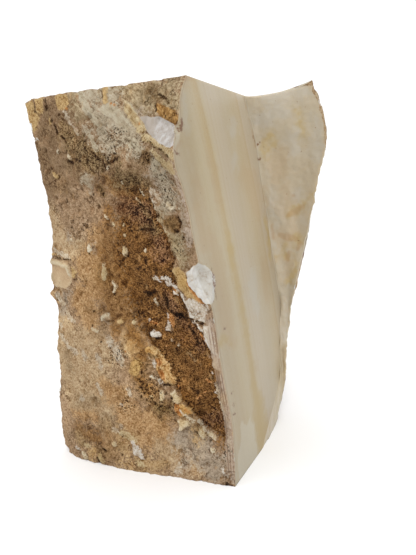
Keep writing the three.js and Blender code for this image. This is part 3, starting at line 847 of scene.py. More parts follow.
def makeMesh(name, points, corners, sizes):
    # A mesh from flat arrays: points, the corners of all faces in turn, and each face's corner count.
    mesh = bpy.data.meshes.new(name)
    mesh.vertices.add(len(points))
    mesh.vertices.foreach_set("co", points.astype(np.float32).ravel())
    mesh.loops.add(len(corners))
    mesh.loops.foreach_set("vertex_index", corners.astype(np.int32))
    mesh.polygons.add(len(sizes))
    starts = np.concatenate([[0], np.cumsum(sizes)[:-1]])
    mesh.polygons.foreach_set("loop_start", starts.astype(np.int32))
    mesh.polygons.foreach_set("use_smooth", np.ones(len(sizes), bool))
    mesh.update(calc_edges=True)
    mesh.validate()
    piece = bpy.data.objects.new(name, mesh)
    bpy.context.scene.collection.objects.link(piece)
    return piece


def addShare(piece, name, values):
    # A number for each point, for the shader to read.
    layer = piece.data.attributes.new(name, "FLOAT", "POINT")
    layer.data.foreach_set("value", values.astype(np.float32).ravel())


wallReach = 30         # a chip's wall is roughened within this many millimetres of it
wallRoughness = 0.12   # as a share of the chip's depth


def scoop(points, at, out, width, depth, seed):
    # A shell-like chip: points inside a ball are pushed out to the ball's wall. The ball's middle stands
    # off the surface so that its cap cuts "width" across and "depth" deep. Returns the depth cut.
    out = np.array(out, float) / np.linalg.norm(out)
    radius = (width ** 2 / 4 + depth ** 2) / (2 * depth)
    middle = np.array(at, float) + out * (radius - depth)
    away = points - middle
    far = np.linalg.norm(away, axis=-1)
    near = np.abs(far - radius) < wallReach
    wall = np.full(far.shape, radius)
    wall[near] += wallRoughness * depth * clouds(points[near], max(3, width / 4), seed, 3)
    cut = np.clip(wall - far, 0, None)
    cut[np.linalg.norm(points - np.array(at), axis=-1) > width] = 0
    points += away / far[..., None] * cut[..., None]
    return cut


chips = [   # where, the way out of the stone, width and depth in millimetres
    ((-9.5, -7.5, 131.5), (1, -1, 0.1), 25, 5.5),   # half way up the front corner
    ((-16, -19, 221), (1, -0.6, 0), 8, 1.6),        # nick below the golden lump
    ((-135, 0, 250), (-1, -1, 1), 6, 1),
]
smallChips = {   # edge: how many, the way out, and the range of heights as shares
    "crustRight": (8, (1, -1, 0), (0.02, 0.55)),
    "breakRim": (14, (1, -0.2, 0), (0.05, 0.98)),
    "crustLeft": (6, (-0.6, -1, 0), (0.02, 0.98)),
    "backRight": (8, (1, 1, 0), (0.02, 0.98)),
    "backLeft": (8, (-1, 1, 0), (0.02, 0.98)),
}
smallChip = {"width": (2, 5), "depth": 0.15, "turn": 0.25}   # depth as a share of the width
# The white crystals in the first chip: distance to the right of the corner along the skin, and height.
whiteChip = [
    (-10, 139), (-11, 131), (-7.6, 125), (-4, 120), (0, 119.3), (5, 121), (9, 126), (14, 131),
    (16, 136), (10, 141), (5, 143.8), (0, 144.8), (-5, 142.8),
]
hiddenPatches = [   # what covers the back and the flank, and its range of noise
    ("soil", 0.12, 0.5), ("pale", 0.2, 0.55), ("peach", -0.1, 0.4), ("beige", -0.4, 0.2),
    ("ochre", 0.55, 0.75), ("black", 0.6, 0.75), ("tan", 0.1, 0.5), ("olive", 0.0, 0.4),
]
yellowBand = [53, 51, 48, 45, 41.5, 37, 32, 27, 21, 13, 5]   # its depth, evenly stepped upwards
farAway = 50   # distance from the front corner, in millimetres, given to the sides that don't meet it


def cutChips(points):
    # All the chips in turn; the result is how deep the small ones cut each point, as they look fresh.
    for number, (at, out, width, depth) in enumerate(chips):
        scoop(points, at, out, width, depth, 80 + number)
    fresh = np.zeros(len(points))
    draw = np.random.default_rng(21)
    for name, (count, out, (low, high)) in smallChips.items():
        for at in smoothLine(edges[name], draw.uniform(low, high, count)):
            width = draw.uniform(*smallChip["width"])
            turned = np.array(out) + draw.normal(0, smallChip["turn"], 3)
            cut = scoop(points, at, turned, width, smallChip["depth"] * width, draw.integers(900))
            fresh = np.maximum(fresh, cut)
    return fresh


def hollowness(grid):
    # How far each point stands out from the mean of its neighbours within three cells, in millimetres:
    # negative in pits. The way out is the cross product of the steps along and across the rows.
    mean = np.zeros_like(grid)
    for reach in (1, 2, 3):
        padded = np.pad(grid, ((reach, reach), (0, 0), (0, 0)), "edge")
        mean += np.roll(grid, reach, 1) + np.roll(grid, -reach, 1)
        mean += padded[:-2 * reach] + padded[2 * reach:]
    along = np.roll(grid, -1, 1) - np.roll(grid, 1, 1)
    up = np.gradient(grid, axis=0)
    out = np.cross(along, up)
    out /= np.linalg.norm(out, axis=-1, keepdims=True) + 1e-9
    return np.sum((grid - mean / 12) * out, -1)


def crustCover(at, on):
    # What lies on the front crust, and noisy patches of some of it on the back and the flank.
    cover = {}
    for name, values in frontRegions(at[on["crust"]]).items():
        cover[name] = np.zeros(len(at))
        cover[name][on["crust"]] = values
    for number, (name, low, high) in enumerate(hiddenPatches):
        patch = clouds(at, 75, 90 + number, 4, 0.55)
        cover[name] = np.where(on["back"] | on["flank"], step(low, high, patch), cover[name])
    return cover


def rindCover(at, share, on, lines):
    # Where crust hides the onyx: all over the crusts, and thinly along their ends on the split side,
    # the top and the base. Rust stains the flank and the break's upper rim.
    x, y, z = at.T
    left, right = lines["crustLeft"], lines["crustRight"]
    across = np.clip((x - left[:, 0]) / (right[:, 0] - left[:, 0]), 0, 1)
    behind = y - left[:, 1] - across * (right[:, 1] - left[:, 1])   # depth behind the front crust
    wander = clouds(at, 25, 96, 4)
    thin = np.where(on["level"], step(3.5, 1.5, behind + 1.5 * wander), 0)
    inward = np.minimum(behind, 0.7 * (lines["backLeft"][:, 1] - y))   # from the nearer crust
    thin = np.where(on["split"], step(6, 3, inward - 9 * np.clip(wander, -0.3, 1)), thin)
    rim = np.linalg.norm(at[:, :2] - lines["breakRim"][:, :2], axis=1)
    under = 1.3 * (block["height"] + 2 - z + 0.1 * rim)   # distance below the break's top edge
    edge = np.minimum(rim, under) + 1.2 * clouds(at, 5, 98, 2)
    crest = step(2.6, 0.4, edge) * step(0.5, 0.75, share) * step(195, 225, z)
    crest = np.where(on["broken"], crest, 0)
    rust = np.maximum(crest, np.where(on["flank"], step(-0.3, 0.3, clouds(at, 30, 99, 2)), 0))
    rind = np.where(on["crust"] | on["back"] | on["flank"], 1.0, np.maximum(thin, crest))
    rind *= np.where(on["flank"], 1 - step(0.2, 0.04, share) * step(215, 195, z), 1)
    rind[on["sawn"] & (share < 1e-6)] = 0.5   # the front corner itself is half crust
    return {"rust": rust, "rind": rind}


def cutCover(at, on, bend, crumble):
    # What lies on the saw cut and the break, and clouds of the tints and stained seams on the split.
    cut = painted(at[:, 1], at[:, 2], bend, crumble, sawStrokes)
    broken = painted(at[:, 0], at[:, 2], bend, crumble, breakStrokes)
    cover = {}
    for number, name in enumerate(cut):
        wash = step(0.05, 0.5, clouds(at * (1, 1, 0.6), 55, 110 + number, 4)) if name in tints else 0
        onBreak = np.where(on["broken"], broken.get(name, 0), 0)
        cover[name] = np.where(on["split"], wash, np.where(on["sawn"], cut[name], onBreak))
    seams = step(0.07, 0.0, np.abs(clouds(at * (1, 1, 0.7), 75, 97, 3)))
    seams = seams * step(-0.1, 0.25, clouds(at, 55, 95, 2))
    cover["stain"] = np.where(on["split"], 0.6 * seams, cover["stain"])
    return cover


def lightCover(share, on, y, z):
    # Painted light on the break, most by its valley and high up, and on the deep upper part of the saw
    # cut; painted shade on the saw cut low down and by the front corner.
    shell = np.clip((2.1 - 1.7 * share) * (0.3 + 0.7 * step(30, 190, z)), 0, 1)
    shell = shell * (1 - 0.3 * step(215, 195, z) * step(0.6, 0.3, share))
    lit = np.where(on["broken"], 0.78 * shell, 0)
    lit = np.where(on["sawn"], step(40, 95, y) * step(110, 190, z), lit)
    low = 0.8 * step(170, 100, z) * (1 - 0.25 * step(40, 70, y)) * step(110, 86, y)
    low = low + 0.5 * step(60, 5, z) * step(45, 75, y)
    corner = 1.1 * step(8, -15, y) * step(150, 205, z) + 0.35 * step(35, 5, y)
    return {"lit": lit, "dim": np.where(on["sawn"], low + corner, 0)}


def coverings(at, face, share, fresh):
    # What covers each point of the skin, by name, mostly as shares from 0 to 1. "corner" is instead
    # the distance from the front corner, and "band" the depth behind the yellow band.
    on = {side["name"]: face == number for number, side in enumerate(sides)}
    on["level"] = face == len(sides)
    x, y, z = at.T
    up = np.clip(z / block["height"], 0, 1)
    lines = {name: smoothLine(edges[name], up) for name in edges}
    bend = [clouds(at, 18, seed, 2) for seed in (101, 103)]
    crumble = [clouds(at, 5, seed, 3, 0.6) for seed in (102, 104)]
    cover = crustCover(at, on)
    cover.update(rindCover(at, share, on, lines))
    cover.update(cutCover(at, on, bend, crumble))
    cover.update(lightCover(share, on, y, z))
    corner = lines["crustRight"]
    along = np.where(on["crust"], x - corner[:, 0], np.where(on["sawn"], y - corner[:, 1], farAway))
    crystals = offOutline(along + 0.6 * crumble[0], z + 0.6 * crumble[1], whiteChip)
    white = np.clip(0.5 - crystals / 3, 0, 1)
    cover["chipped"] = np.maximum.reduce([step(0.15, 0.5, fresh), white, cover["crystal"]])
    cover["corner"] = np.abs(along)
    depths = np.interp(z, np.linspace(0, block["height"], len(yellowBand)), yellowBand)
    cover["band"] = y - depths + 2 * clouds(at * (0.3, 1, 0.3), 30, 100, 2)
    return cover


def buildStone():
    # The whole closed skin: rings of the base, rows up the sides and rings of the top, then one point
    # at each pole. Returns the points, what covers each, and the faces' corners and corner counts.
    skin, kinds, shares = stoneRows(graded(block["rows"], 0.2, closed=True))
    topRings = levelRings(skin[-1], block["topMiddle"], block["height"], block["topRings"])
    baseRings = levelRings(skin[0], block["baseMiddle"], 0, block["baseRings"])[::-1]
    grid = np.concatenate([baseRings, skin, topRings])
    rows, around = grid.shape[:2]
    points = grid.reshape(-1, 3)
    rings = ((len(baseRings), len(topRings)), (0, 0))
    face = np.pad(kinds, rings, constant_values=len(sides)).ravel()
    share = np.pad(shares, rings, constant_values=0.5).ravel()
    fresh = cutChips(points)
    points[:, 2] = np.clip(points[:, 2], 0, None)
    cover = coverings(points, face, share, fresh)
    cover["hollow"] = hollowness(points.reshape(rows, around, 3)).ravel()

    poles = np.array([[*block["baseMiddle"], 0], [*block["topMiddle"], block["height"]]], float)
    points = np.concatenate([points, poles])
    ends = [0, -1]   # the poles take what covers the first and the last ring
    cover = {name: np.concatenate([values, values[ends]]) for name, values in cover.items()}

    index = np.arange(rows * around).reshape(rows, around)
    after = np.roll(index, -1, 1)
    quads = np.stack([index[:-1], after[:-1], after[1:], index[1:]], -1).reshape(-1, 4)
    fans = np.concatenate([
        np.stack([np.full(around, rows * around), after[0], index[0]], -1),
        np.stack([index[-1], after[-1], np.full(around, rows * around + 1)], -1),
    ])
    corners = np.concatenate([quads.ravel(), fans.ravel()])
    sizes = np.concatenate([np.full(len(quads), 4), np.full(len(fans), 3)])
    return points, cover, corners, sizes


def onFrame():
    # The move from the stone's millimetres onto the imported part, in metres: it brings the middle of
    # the large shape's box onto the middle of the part's box.
    v = np.linspace(0, 1, block["boxRows"] + 1)
    lines = {name: smoothLine(line, v) for name, line in edges.items()}
    low, high = np.full(3, 1e9), np.full(3, -1e9)
    for side in sides:
        s = np.linspace(0, 1, side["columns"])[None, :, None]
        place = lines[side["left"]][:, None] * (1 - s) + lines[side["right"]][:, None] * s
        swell = swellOf(side["name"], s[..., 0], v[:, None])[..., None]
        place = place + swell * outOf(side)
        low, high = np.minimum(low, place.min((0, 1))), np.maximum(high, place.max((0, 1)))
    return (boxLow + boxHigh) / 2 - (low + high) / 2000


boxLow, boxHigh = (np.array(corner) for corner in cadBox)
toFrame = onFrame()
points, cover, corners, sizes = buildStone()
placed = np.clip(points / 1000 + toFrame, boxLow, boxHigh)
stone = makeMesh("onyx_block_stone", placed, corners, sizes)
for name, values in cover.items():
    addShare(stone, name, values)
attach(stone, "root")
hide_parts("onyx_block")
print("stone skin:", len(points), "points")


class Wire:   # one output of a shader node; sums and products of wires add Math nodes
    def __init__(self, tree, socket=None):
        self.tree, self.socket = tree, socket

    def node(self, kind, settings=(), sockets=(), out=0):
        made = self.tree.nodes.new(kind)
        for name, value in dict(settings).items():
            if name == "stops":   # a ramp's colours: [(place, colour), ...]
                while len(made.color_ramp.elements) < len(value):
                    made.color_ramp.elements.new(1)
                for element, (place, colour) in zip(made.color_ramp.elements, value):
                    element.position, element.color = place, colour
            else:
                setattr(made, name, value)
        for name, value in dict(sockets).items():
            if isinstance(value, Wire):
                self.tree.links.new(value.socket, made.inputs[name])
            else:
                made.inputs[name].default_value = value
        return None if out is None else Wire(self.tree, made.outputs[out])

    def maths(self, operation, *values):
        return self.node("ShaderNodeMath", {"operation": operation}, dict(enumerate(values)))

    def __add__(self, other):
        return self.maths("ADD", self, other)

    def __radd__(self, other):
        return self.maths("ADD", other, self)

    def __sub__(self, other):
        return self.maths("SUBTRACT", self, other)

    def __rsub__(self, other):
        return self.maths("SUBTRACT", other, self)

    def __mul__(self, other):
        return self.maths("MULTIPLY", self, other)

    def __rmul__(self, other):
        return self.maths("MULTIPLY", other, self)

    def __truediv__(self, other):
        return self.maths("DIVIDE", self, other)

    def __abs__(self):
        return self.maths("ABSOLUTE", self)

    def folded(self, length):   # up and down again, between 0 and the length
        return self.maths("PINGPONG", self, length)

    def step(self, low, high):   # 0 at low, 1 at high, smooth between; low may be the larger one
        settings = {"interpolation_type": "SMOOTHSTEP"}
        return self.node("ShaderNodeMapRange", settings, {0: self, 1: low, 2: high, 3: 0.0, 4: 1.0})

    def blend(self, under, over, how="MIX"):   # self is the share of the colour "over"
        settings = {"data_type": "RGBA", "blend_type": how}
        return self.node("ShaderNodeMix", settings, {0: self, 6: under, 7: over}, 2)

    def moved(self, by):   # a place moved by a vector
        return self.node("ShaderNodeVectorMath", {"operation": "ADD"}, {0: self, 1: by})

    def noise(self, size, detail=2.0, roughness=0.5, seed=0, out=0):   # size in millimetres
        sockets = {"Vector": self.moved((seed, seed * 0.7, seed * 0.4)), "Scale": 1000 / size,
                   "Detail": detail, "Roughness": roughness}
        return self.node("ShaderNodeTexNoise", sockets=sockets, out=out)

    def grains(self, size, out="Distance"):
        return self.node("ShaderNodeTexVoronoi", sockets={"Vector": self, "Scale": 1000 / size}, out=out)

    def bent(self, size, by):   # places bent by a noise, both lengths in millimetres
        away = self.noise(size, 2, 0.6, 31, out="Color").moved((-0.5,) * 3)
        settings = {"operation": "MULTIPLY_ADD"}
        return self.node("ShaderNodeVectorMath", settings, {0: away, 1: (by / 500,) * 3, 2: self})

    def ramp(self, stops):   # colours at places from 0 to 1
        return self.node("ShaderNodeValToRGB", {"stops": stops}, {0: self})


look = {
    "streakLean": 42,      # degrees from level
    "crustRoughness": 0.95,
    "onyxRoughness": 0.42,
    "onyxSheen": 0.15,     # how much the onyx's roughness varies
    "crustGain": 0.86,     # lightens or darkens every colour of the crust, and of the onyx
    "onyxGain": 0.78,
    "crustBump": 0.0012,   # height of the crust's grains, metres
    "onyxBump": 0.00012,
    "glow": 0.006,         # how far light travels inside the onyx, metres
}


def paint(red, green, blue, gain=look["crustGain"]):
    # A screen colour from 0 to 255 as linear light.
    parts = np.array([red, green, blue]) / 255
    linear = np.where(parts <= 0.04045, parts / 12.92, ((parts + 0.055) / 1.055) ** 2.4)
    return (*(linear * gain).tolist(), 1)


def onyx(red, green, blue):
    return paint(red, green, blue, look["onyxGain"])


# What lies on the crust, in the order it is laid on: dark, middle and light tone, then how ragged and
# how soft its end is.
crustPaint = {
    "bare": ((100, 74, 50), (156, 128, 98), (188, 162, 132)),
    "umber": ((66, 42, 24), (122, 97, 70), (162, 136, 104), 1.4, 0.35),
    "beige": ((130, 100, 66), (176, 149, 114), (206, 184, 150), 1.6, 0.35),
    "peach": ((116, 80, 44), (170, 133, 90), (206, 174, 132), 1.6, 0.3),
    "brown": ((72, 44, 22), (134, 98, 59), (176, 140, 96), 1.6, 0.3),
    "tan": ((88, 66, 38), (160, 140, 108), (198, 180, 148), 1.4, 0.25),
    "olive": ((44, 28, 14), (112, 88, 58), (160, 136, 100), 1.8, 0.25),
    "grey": ((112, 94, 76), (160, 143, 121), (184, 168, 148), 1.4, 0.3),
    "pale": ((110, 92, 70), (172, 157, 132), (194, 182, 160), 1.2, 0.22),
    "veil": ((138, 120, 92), (178, 165, 140), (198, 188, 166), 0.9, 0.25),
    "soil": ((34, 17, 6), (110, 74, 37), (164, 121, 72), 1.4, 0.2),
    "wine": ((28, 12, 7), (98, 64, 40), (162, 124, 88), 1.6, 0.25),
    "gold": ((60, 34, 12), (124, 86, 46), (172, 130, 80), 1.6, 0.25),
    "rust": ((132, 98, 66), (178, 152, 118), (198, 178, 148), 0.6, 0.3),
    "strip": ((140, 118, 96), (182, 163, 143), (202, 191, 178), 0.6, 0.12),
    "sand": ((116, 82, 44), (174, 143, 100), (202, 176, 136), 1.8, 0.35),
    "straw": ((134, 104, 60), (183, 160, 120), (206, 190, 154), 1.1, 0.2),
    "ochre": ((112, 74, 34), (178, 148, 100), (204, 176, 130), 1.0, 0.14),
    "frost": ((150, 126, 98), (186, 168, 142), (206, 194, 176), 1.8, 0.2),
    "plate": ((156, 124, 90), (190, 164, 130), (208, 188, 156), 0.5, 0.1),
    "golden": ((82, 50, 20), (148, 110, 62), (194, 156, 100), 0.6, 0.1),
    "butter": ((142, 98, 50), (196, 158, 104), (216, 188, 142), 0.7, 0.1),
    "orange": ((124, 70, 28), (180, 122, 68), (206, 162, 110), 0.7, 0.12),
    "cream": ((140, 110, 72), (196, 176, 142), (216, 204, 180), 0.8, 0.1),
    "white": ((150, 124, 98), (196, 184, 166), (220, 214, 206), 1.1, 0.1),
    # The holes: their dark brown with painted shade.
    "hole": ((44, 26, 12), (124, 96, 62), (166, 136, 98), 2.6, 0.4),
    "black": ((14, 7, 4), (46, 29, 17), (100, 72, 46), 1.8, 0.16),
}
# The bands behind the front crust, by depth from the main yellow band in millimetres.
bandPaint = [
    (-80, (184, 170, 144)), (-52, (180, 166, 140)), (-40, (182, 167, 140)), (-33, (178, 161, 129)),
    (-26, (181, 164, 133)), (-18, (184, 168, 134)), (-11, (186, 170, 138)), (-5, (185, 168, 134)),
    (-3, (183, 161, 118)), (3, (181, 158, 112)), (6, (185, 169, 136)), (12, (187, 173, 150)),
    (26, (185, 171, 149)), (36, (181, 166, 139)), (48, (179, 162, 130)), (60, (179, 161, 129)),
    (64, (174, 153, 118)), (67, (180, 165, 140)), (110, (181, 168, 143)),
]


# The first two washes are painted shade and painted light on the crust; the third is a warmer tint.
washes = {   # soft strokes that multiply the crust's colour
    "shaded": (0.74, 0.73, 0.71, 1), "bleached": (1.28, 1.28, 1.26, 1), "warmed": (1.03, 0.95, 0.76, 1),
}
# lit is painted light and dim painted shade over the onyx's colour.
onyxWashes = {"lit": (1.2, 1.22, 1.28, 1), "dim": (0.84, 0.825, 0.785, 1)}   # the same for the onyx
# How much less grain there is in some covers.
calmer = {"pale": 0.4, "plate": 0.7, "tan": 0.6, "strip": 0.75, "veil": 0.5, "golden": 0.4}
marks = {   # the crust's marks, and then the onyx's
    "seam": paint(184, 164, 144), "brownLine": paint(118, 88, 66), "fleck": paint(204, 164, 112),
    "rust": paint(150, 98, 52), "speck": paint(34, 21, 13),
    "paleLayer": onyx(188, 177, 153), "darkLayer": onyx(174, 152, 114), "mottling": onyx(189, 176, 150),
    "corner": onyx(146, 116, 84), "stain": onyx(116, 70, 28), "dot": onyx(122, 80, 38),
}


def weighed(share, start, **weights):
    # A start value plus each cover's share times its weight.
    for name, weight in weights.items():
        start = start + share(name) * weight
    return start


def crustGrains(at, bent):
    # The crust's grains, from fine to coarse: noises, streaks that lean to the right, clods, and thin
    # cracks where a noise passes one half.
    leaning = at.node("ShaderNodeMapping", {"vector_type": "TEXTURE"},
                      {0: at, 2: (0, math.radians(look["streakLean"]), 0), 3: (6.0, 1.0, 1.0)})
    crack = abs(at.bent(6, 3).noise(9, 3, 0.55, 14) - 0.5).step(0.03, 0.0)
    return {
        "dust": at.noise(1.0, 4, 0.85),
        "grit": bent.grains(1.2, "Color"),
        "small": at.noise(1.6, 6, 0.75, 3),
        "streaks": leaning.noise(1.6, 4, 0.7, 8),
        "clods": at.bent(4, 2).noise(4.5, 4, 0.7, 18).step(0.5, 0.62),
        "middle": at.noise(9, 5, 0.6, 5),
        "crack": crack * at.noise(16, 2, 0.5, 15).step(0.5, 0.62),
    }


def crustTone(grain, share, high):
    # How light each place is, from 0 to 1: the grains, stronger or calmer by what lies there.
    calm = 1.0
    for name, most in calmer.items():
        calm = calm * (1 - share(name) * most)
    coarse = weighed(share, 0.65, olive=0.2, pores=0.4, soil=-0.2) * calm
    finer = weighed(share, 1.0, soil=0.75, olive=1.0, pores=1.0, wine=0.4) * calm
    tone = 0.5 + (grain["dust"] - 0.5) * 2.2 * finer
    tone = tone + ((grain["small"] - 0.5) * 1.2 + (grain["grit"] - 0.5) * 0.5) * coarse
    # The hollow share makes pits darker and ridges lighter: painted shade and painted light.
    tone = tone + (grain["middle"] - 0.5) * weighed(share, 0.5, soil=-0.2) + share("hollow") * 0.3
    tone = tone + (grain["streaks"] - 0.5) * (high + weighed(share, 0.3, tan=0.5))
    tone = tone - grain["crack"] * weighed(share, 0.35, soil=0.3)
    return tone - grain["clods"] * weighed(share, 0.0, soil=0.16, wine=0.14, olive=0.14)


def crustLayers(tone, edge, share):
    # Each cover's colours by tone, laid over the ones before it where its share, roughened at its
    # sides by the edge noise, passes one half.
    colour = None
    for name, (dark, mid, light, *end) in crustPaint.items():
        shades = tone.ramp([(0.1, paint(*dark)), (0.5, paint(*mid)), (0.9, paint(*light))])
        if colour is None:
            colour = shades
            continue
        ragged, soft = end
        part = share(name)
        over = part + part * (1 - part) * edge * (4 * ragged)
        colour = over.step(0.5 - soft, 0.5 + soft).blend(colour, shades)
    return colour


def surface(at, bump, height, sockets):
    # A surface shader whose normal is bent by a bump of the named height.
    normal = at.node("ShaderNodeBump", sockets={
        "Strength": 1.0, "Distance": look[height], "Height": bump})
    return at.node("ShaderNodeBsdfPrincipled", sockets={**sockets, "Normal": normal})


def crustShader(at, share):
    # The covers' layers, then brown lines along the banded front corner, light flecks, rust, dark
    # specks and the washes: painted shade, painted light and a warmer tint.
    bent = at.bent(3, 1.2)
    grain = crustGrains(at, bent)
    up = at.node("ShaderNodeSeparateXYZ", sockets={0: at}, out=2)
    high = up.step(0.17, 0.22)
    edge = (grain["small"] - 0.5) * 1.6 + (grain["dust"] - 0.5) * 0.7 + (grain["grit"] - 0.5) * 0.3
    edge = edge + (grain["streaks"] - 0.5) * high
    colour = crustLayers(crustTone(grain, share, high), edge, share)
    seam = share("corner").step(6.4, 5.2) * up.step(0.122, 0.1) * up.step(0.004, 0.012)
    lines = (share("corner") + (at.noise(40, 2, 0.5, 9) - 0.5) * 2).folded(0.9).step(0.35, 0.85)
    broken = at.noise(12, 3, 0.5, 20).step(0.3, 0.6)
    colour = (seam * 0.5).blend(colour, marks["seam"])
    colour = (lines * seam * broken * 0.8).blend(colour, marks["brownLine"])
    flat = at.node("ShaderNodeMapping", sockets={0: bent, 3: (1.0, 1.0, 0.45)})
    flecks = flat.grains(2.6, "Color").step(0.78, 0.86) * flat.grains(2.6).step(0.55, 0.3)
    colour = (flecks * weighed(share, 0.2, soil=0.15)).blend(colour, marks["fleck"])
    rusty = at.noise(7, 4, 0.65, 16).step(0.52, 0.68) * 0.15
    colour = rusty.blend(colour, marks["rust"])
    many = at.noise(9, 3, 0.6, 13) * 0.4 - 0.07
    many = weighed(share, many, pores=0.3, soil=-0.06, ochre=-0.2, tan=-0.08)
    specks = (many - bent.grains(1.8)).step(0.0, 0.05) * (1 - share("strip"))
    colour = (specks * 0.85).blend(colour, marks["speck"])
    for name, tint in washes.items():
        colour = share(name).step(0.0, 1.0).blend(colour, tint, "MULTIPLY")
    bump = grain["dust"] * 0.4 + grain["small"] * 0.8 + grain["streaks"] * 0.4 + grain["grit"] * 0.2
    bump = bump + flecks * 0.2 - specks * 0.5 - grain["crack"] * 0.6
    return surface(at, bump, "crustBump", {
        "Base Color": colour, "Roughness": look["crustRoughness"], "Specular IOR Level": 0.1})


def onyxBands(at, share):
    # The colour of the bands by depth from the yellow one, with thin layers and clouds in them.
    low, high = bandPaint[0][0], bandPaint[-1][0]
    band = share("band") + (at.noise(60, 2, 0.5, 17) - 0.5) * 3
    stops = [((place - low) / (high - low), onyx(*tint)) for place, tint in bandPaint]
    colour = ((band - low) / (high - low)).ramp(stops)
    thin = at.node("ShaderNodeCombineXYZ", sockets={2: band / 1000})
    lamina = thin.noise(2.4, 3, 0.65, 1) * 0.6 + thin.noise(8, 2, 0.5, 2) * 0.4
    cloudy = at.noise(22, 4, 0.55, 19)
    colour = ((lamina - 0.5) + (cloudy - 0.5) * 0.6 + 0.12).blend(colour, marks["paleLayer"])
    colour = ((0.5 - lamina).step(0.0, 0.18) * 0.35).blend(colour, marks["darkLayer"])
    return ((at.noise(1.3, 3, 0.6, 29) - 0.5) * 1.2 + 0.2).blend(colour, marks["mottling"])


def freshWhite(facets, share):
    # The broken crystals: white in the chips, greyer and more lilac in the patch by the gold lump.
    milk = facets.ramp([
        (0.3, onyx(170, 156, 140)), (0.45, onyx(200, 195, 186)), (0.7, onyx(216, 215, 212))])
    lilac = facets.ramp([
        (0.34, onyx(148, 138, 126)), (0.5, onyx(178, 171, 164)), (0.66, onyx(204, 202, 201))])
    lilac = (share("corner").step(11, 25) * 0.85).blend(lilac, onyx(162, 149, 134))
    return share("crystal").step(0.1, 0.5).blend(milk, lilac)


def onyxShader(at, share):
    # The bands, then the tints, the broken crystals, a line along the corner, stains and dots, and at
    # last painted light and painted shade.
    colour = onyxBands(at, share)
    ragged = (at.noise(7, 4, 0.6, 25) - 0.5) * 1.6
    for name, (tint, most) in tints.items():
        part = share(name)
        over = (part + part * (1 - part) * ragged * 4).step(0.05, 0.85)
        colour = (over * most).blend(colour, onyx(*tint))
    facets = at.bent(5, 3).noise(5, 5, 0.65, 21)
    colour = share("chipped").step(0.3, 0.6).blend(colour, freshWhite(facets, share))
    line = abs(share("corner") - 1.6 + (at.noise(12, 3, 0.5, 26) - 0.5) * 1.2).step(0.7, 0.1)
    colour = (line * 0.45 * share("chipped").step(0.3, 0.1)).blend(colour, marks["corner"])
    spot = share("stain") + share("stain") * (1 - share("stain")) * (at.noise(1.8, 3, 0.6, 27) - 0.5) * 8
    colour = (spot.step(0.35, 0.8) * 0.9).blend(colour, marks["stain"])
    dots = at.grains(8).step(0.07, 0.04) * 0.6 + (share("specks") * 0.2 - at.grains(2.4)).step(0.0, 0.05)
    colour = (dots * 0.7).blend(colour, marks["dot"])
    for name, tint in onyxWashes.items():
        colour = share(name).blend(colour, tint, "MULTIPLY")
    dust = at.noise(0.8, 2, 0.5, 23)
    bump = dust + facets * 3 * share("chipped").step(0.2, 0.8)
    return surface(at, bump, "onyxBump", {
        "Base Color": colour, "IOR": 1.5,
        "Roughness": look["onyxRoughness"] + (dust - 0.5) * look["onyxSheen"],
        "Subsurface Weight": 0.3, "Subsurface Radius": (1.0, 0.8, 0.55),
        "Subsurface Scale": look["glow"],
    })


def stoneFinish():
    # Onyx and crust, mixed where the share of rind, roughened by a noise, passes one half.
    material = bpy.data.materials.new("banded_onyx_with_crust")
    material.use_nodes = True
    tree = material.node_tree
    tree.nodes.clear()
    at = Wire(tree).node("ShaderNodeTexCoord", out="Object")

    def share(name):
        return at.node("ShaderNodeAttribute", {"attribute_name": name}, out="Fac")

    weathered = share("rind") + (at.noise(2.5, 3, 0.6) - 0.5) * 0.3 - share("chipped").step(0.3, 0.6)
    shader = at.node("ShaderNodeMixShader", sockets={
        0: weathered.step(0.42, 0.58), 1: onyxShader(at, share), 2: crustShader(at, share)})
    at.node("ShaderNodeOutputMaterial", sockets={"Surface": shader}, out=None)
    return material


stone.data.materials.append(stoneFinish())
print("finish made")

view = {
    "from": (122, -277.7, 189.8),     # millimetres from the foot of the front corner
    "right": (0.9036, 0.4255, -0.0485),
    "up": (-0.0320, 0.1799, 0.9832),
    "lens": 34,     # millimetres
    "sensor": 36,
}


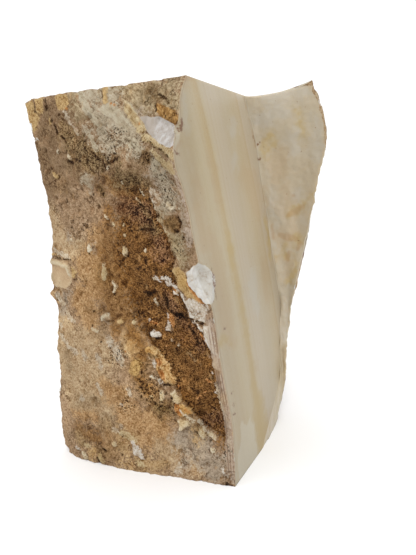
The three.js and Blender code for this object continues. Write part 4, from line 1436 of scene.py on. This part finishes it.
def placeCamera():
    # The camera looks along the cross product of its right and up; up is then squared to both.
    camera = bpy.data.objects.new("camera", bpy.data.cameras.new("camera"))
    right, up = Vector(view["right"]).normalized(), Vector(view["up"])
    back = right.cross(up).normalized()
    up = back.cross(right)
    turn = Matrix((right, up, back)).transposed().to_4x4()
    at = np.array(view["from"]) / 1000 + toFrame
    camera.matrix_world = Matrix.Translation(Vector(at)) @ turn
    camera.data.lens = view["lens"]
    camera.data.sensor_width = view["sensor"]
    camera.data.clip_start = 0.01
    bpy.context.scene.collection.objects.link(camera)
    bpy.context.scene.camera = camera


studio = {
    "world": 1.13,   # a little over white, so that wall and floor meet unseen
    "floor": 0.9,    # its lightness
    "floorReach": 4,   # metres from the stone to each side
    "aim": (0, 0, 0.12),   # the middle of the stone
    "key": {"at": (0.5, -1.1, 1.2), "size": 0.5, "watts": 9},
    "fill": {"at": (-1.2, -0.8, 0.7), "size": 1.0, "watts": 4},
}


def areaLight(name):
    # A round lamp that faces the middle of the block.
    settings = studio[name]
    lamp = bpy.data.lights.new(name, "AREA")
    lamp.shape = "DISK"
    lamp.size = settings["size"]
    lamp.energy = settings["watts"]
    light = bpy.data.objects.new(name, lamp)
    light.location = settings["at"]
    light.rotation_euler = (Vector(studio["aim"]) - light.location).to_track_quat("-Z", "Y").to_euler()
    bpy.context.scene.collection.objects.link(light)


placeCamera()
areaLight("key")
areaLight("fill")

world = bpy.data.worlds.new("studio")
world.use_nodes = True
world.node_tree.nodes["Background"].inputs["Color"].default_value = (1, 1, 1, 1)
world.node_tree.nodes["Background"].inputs["Strength"].default_value = studio["world"]
bpy.context.scene.world = world
bpy.context.scene.view_settings.view_transform = "Standard"

square = np.array([(-1, -1, 0), (1, -1, 0), (1, 1, 0), (-1, 1, 0)], float)
floor = makeMesh("floor", studio["floorReach"] * square, np.arange(4), np.array([4]))
floorPaint = bpy.data.materials.new("floor")
floorPaint.use_nodes = True
floorShader = floorPaint.node_tree.nodes["Principled BSDF"]
floorShader.inputs["Base Color"].default_value = (studio["floor"], studio["floor"], studio["floor"], 1)
floorShader.inputs["Roughness"].default_value = 0.9
floor.data.materials.append(floorPaint)
print("camera, light and floor placed")
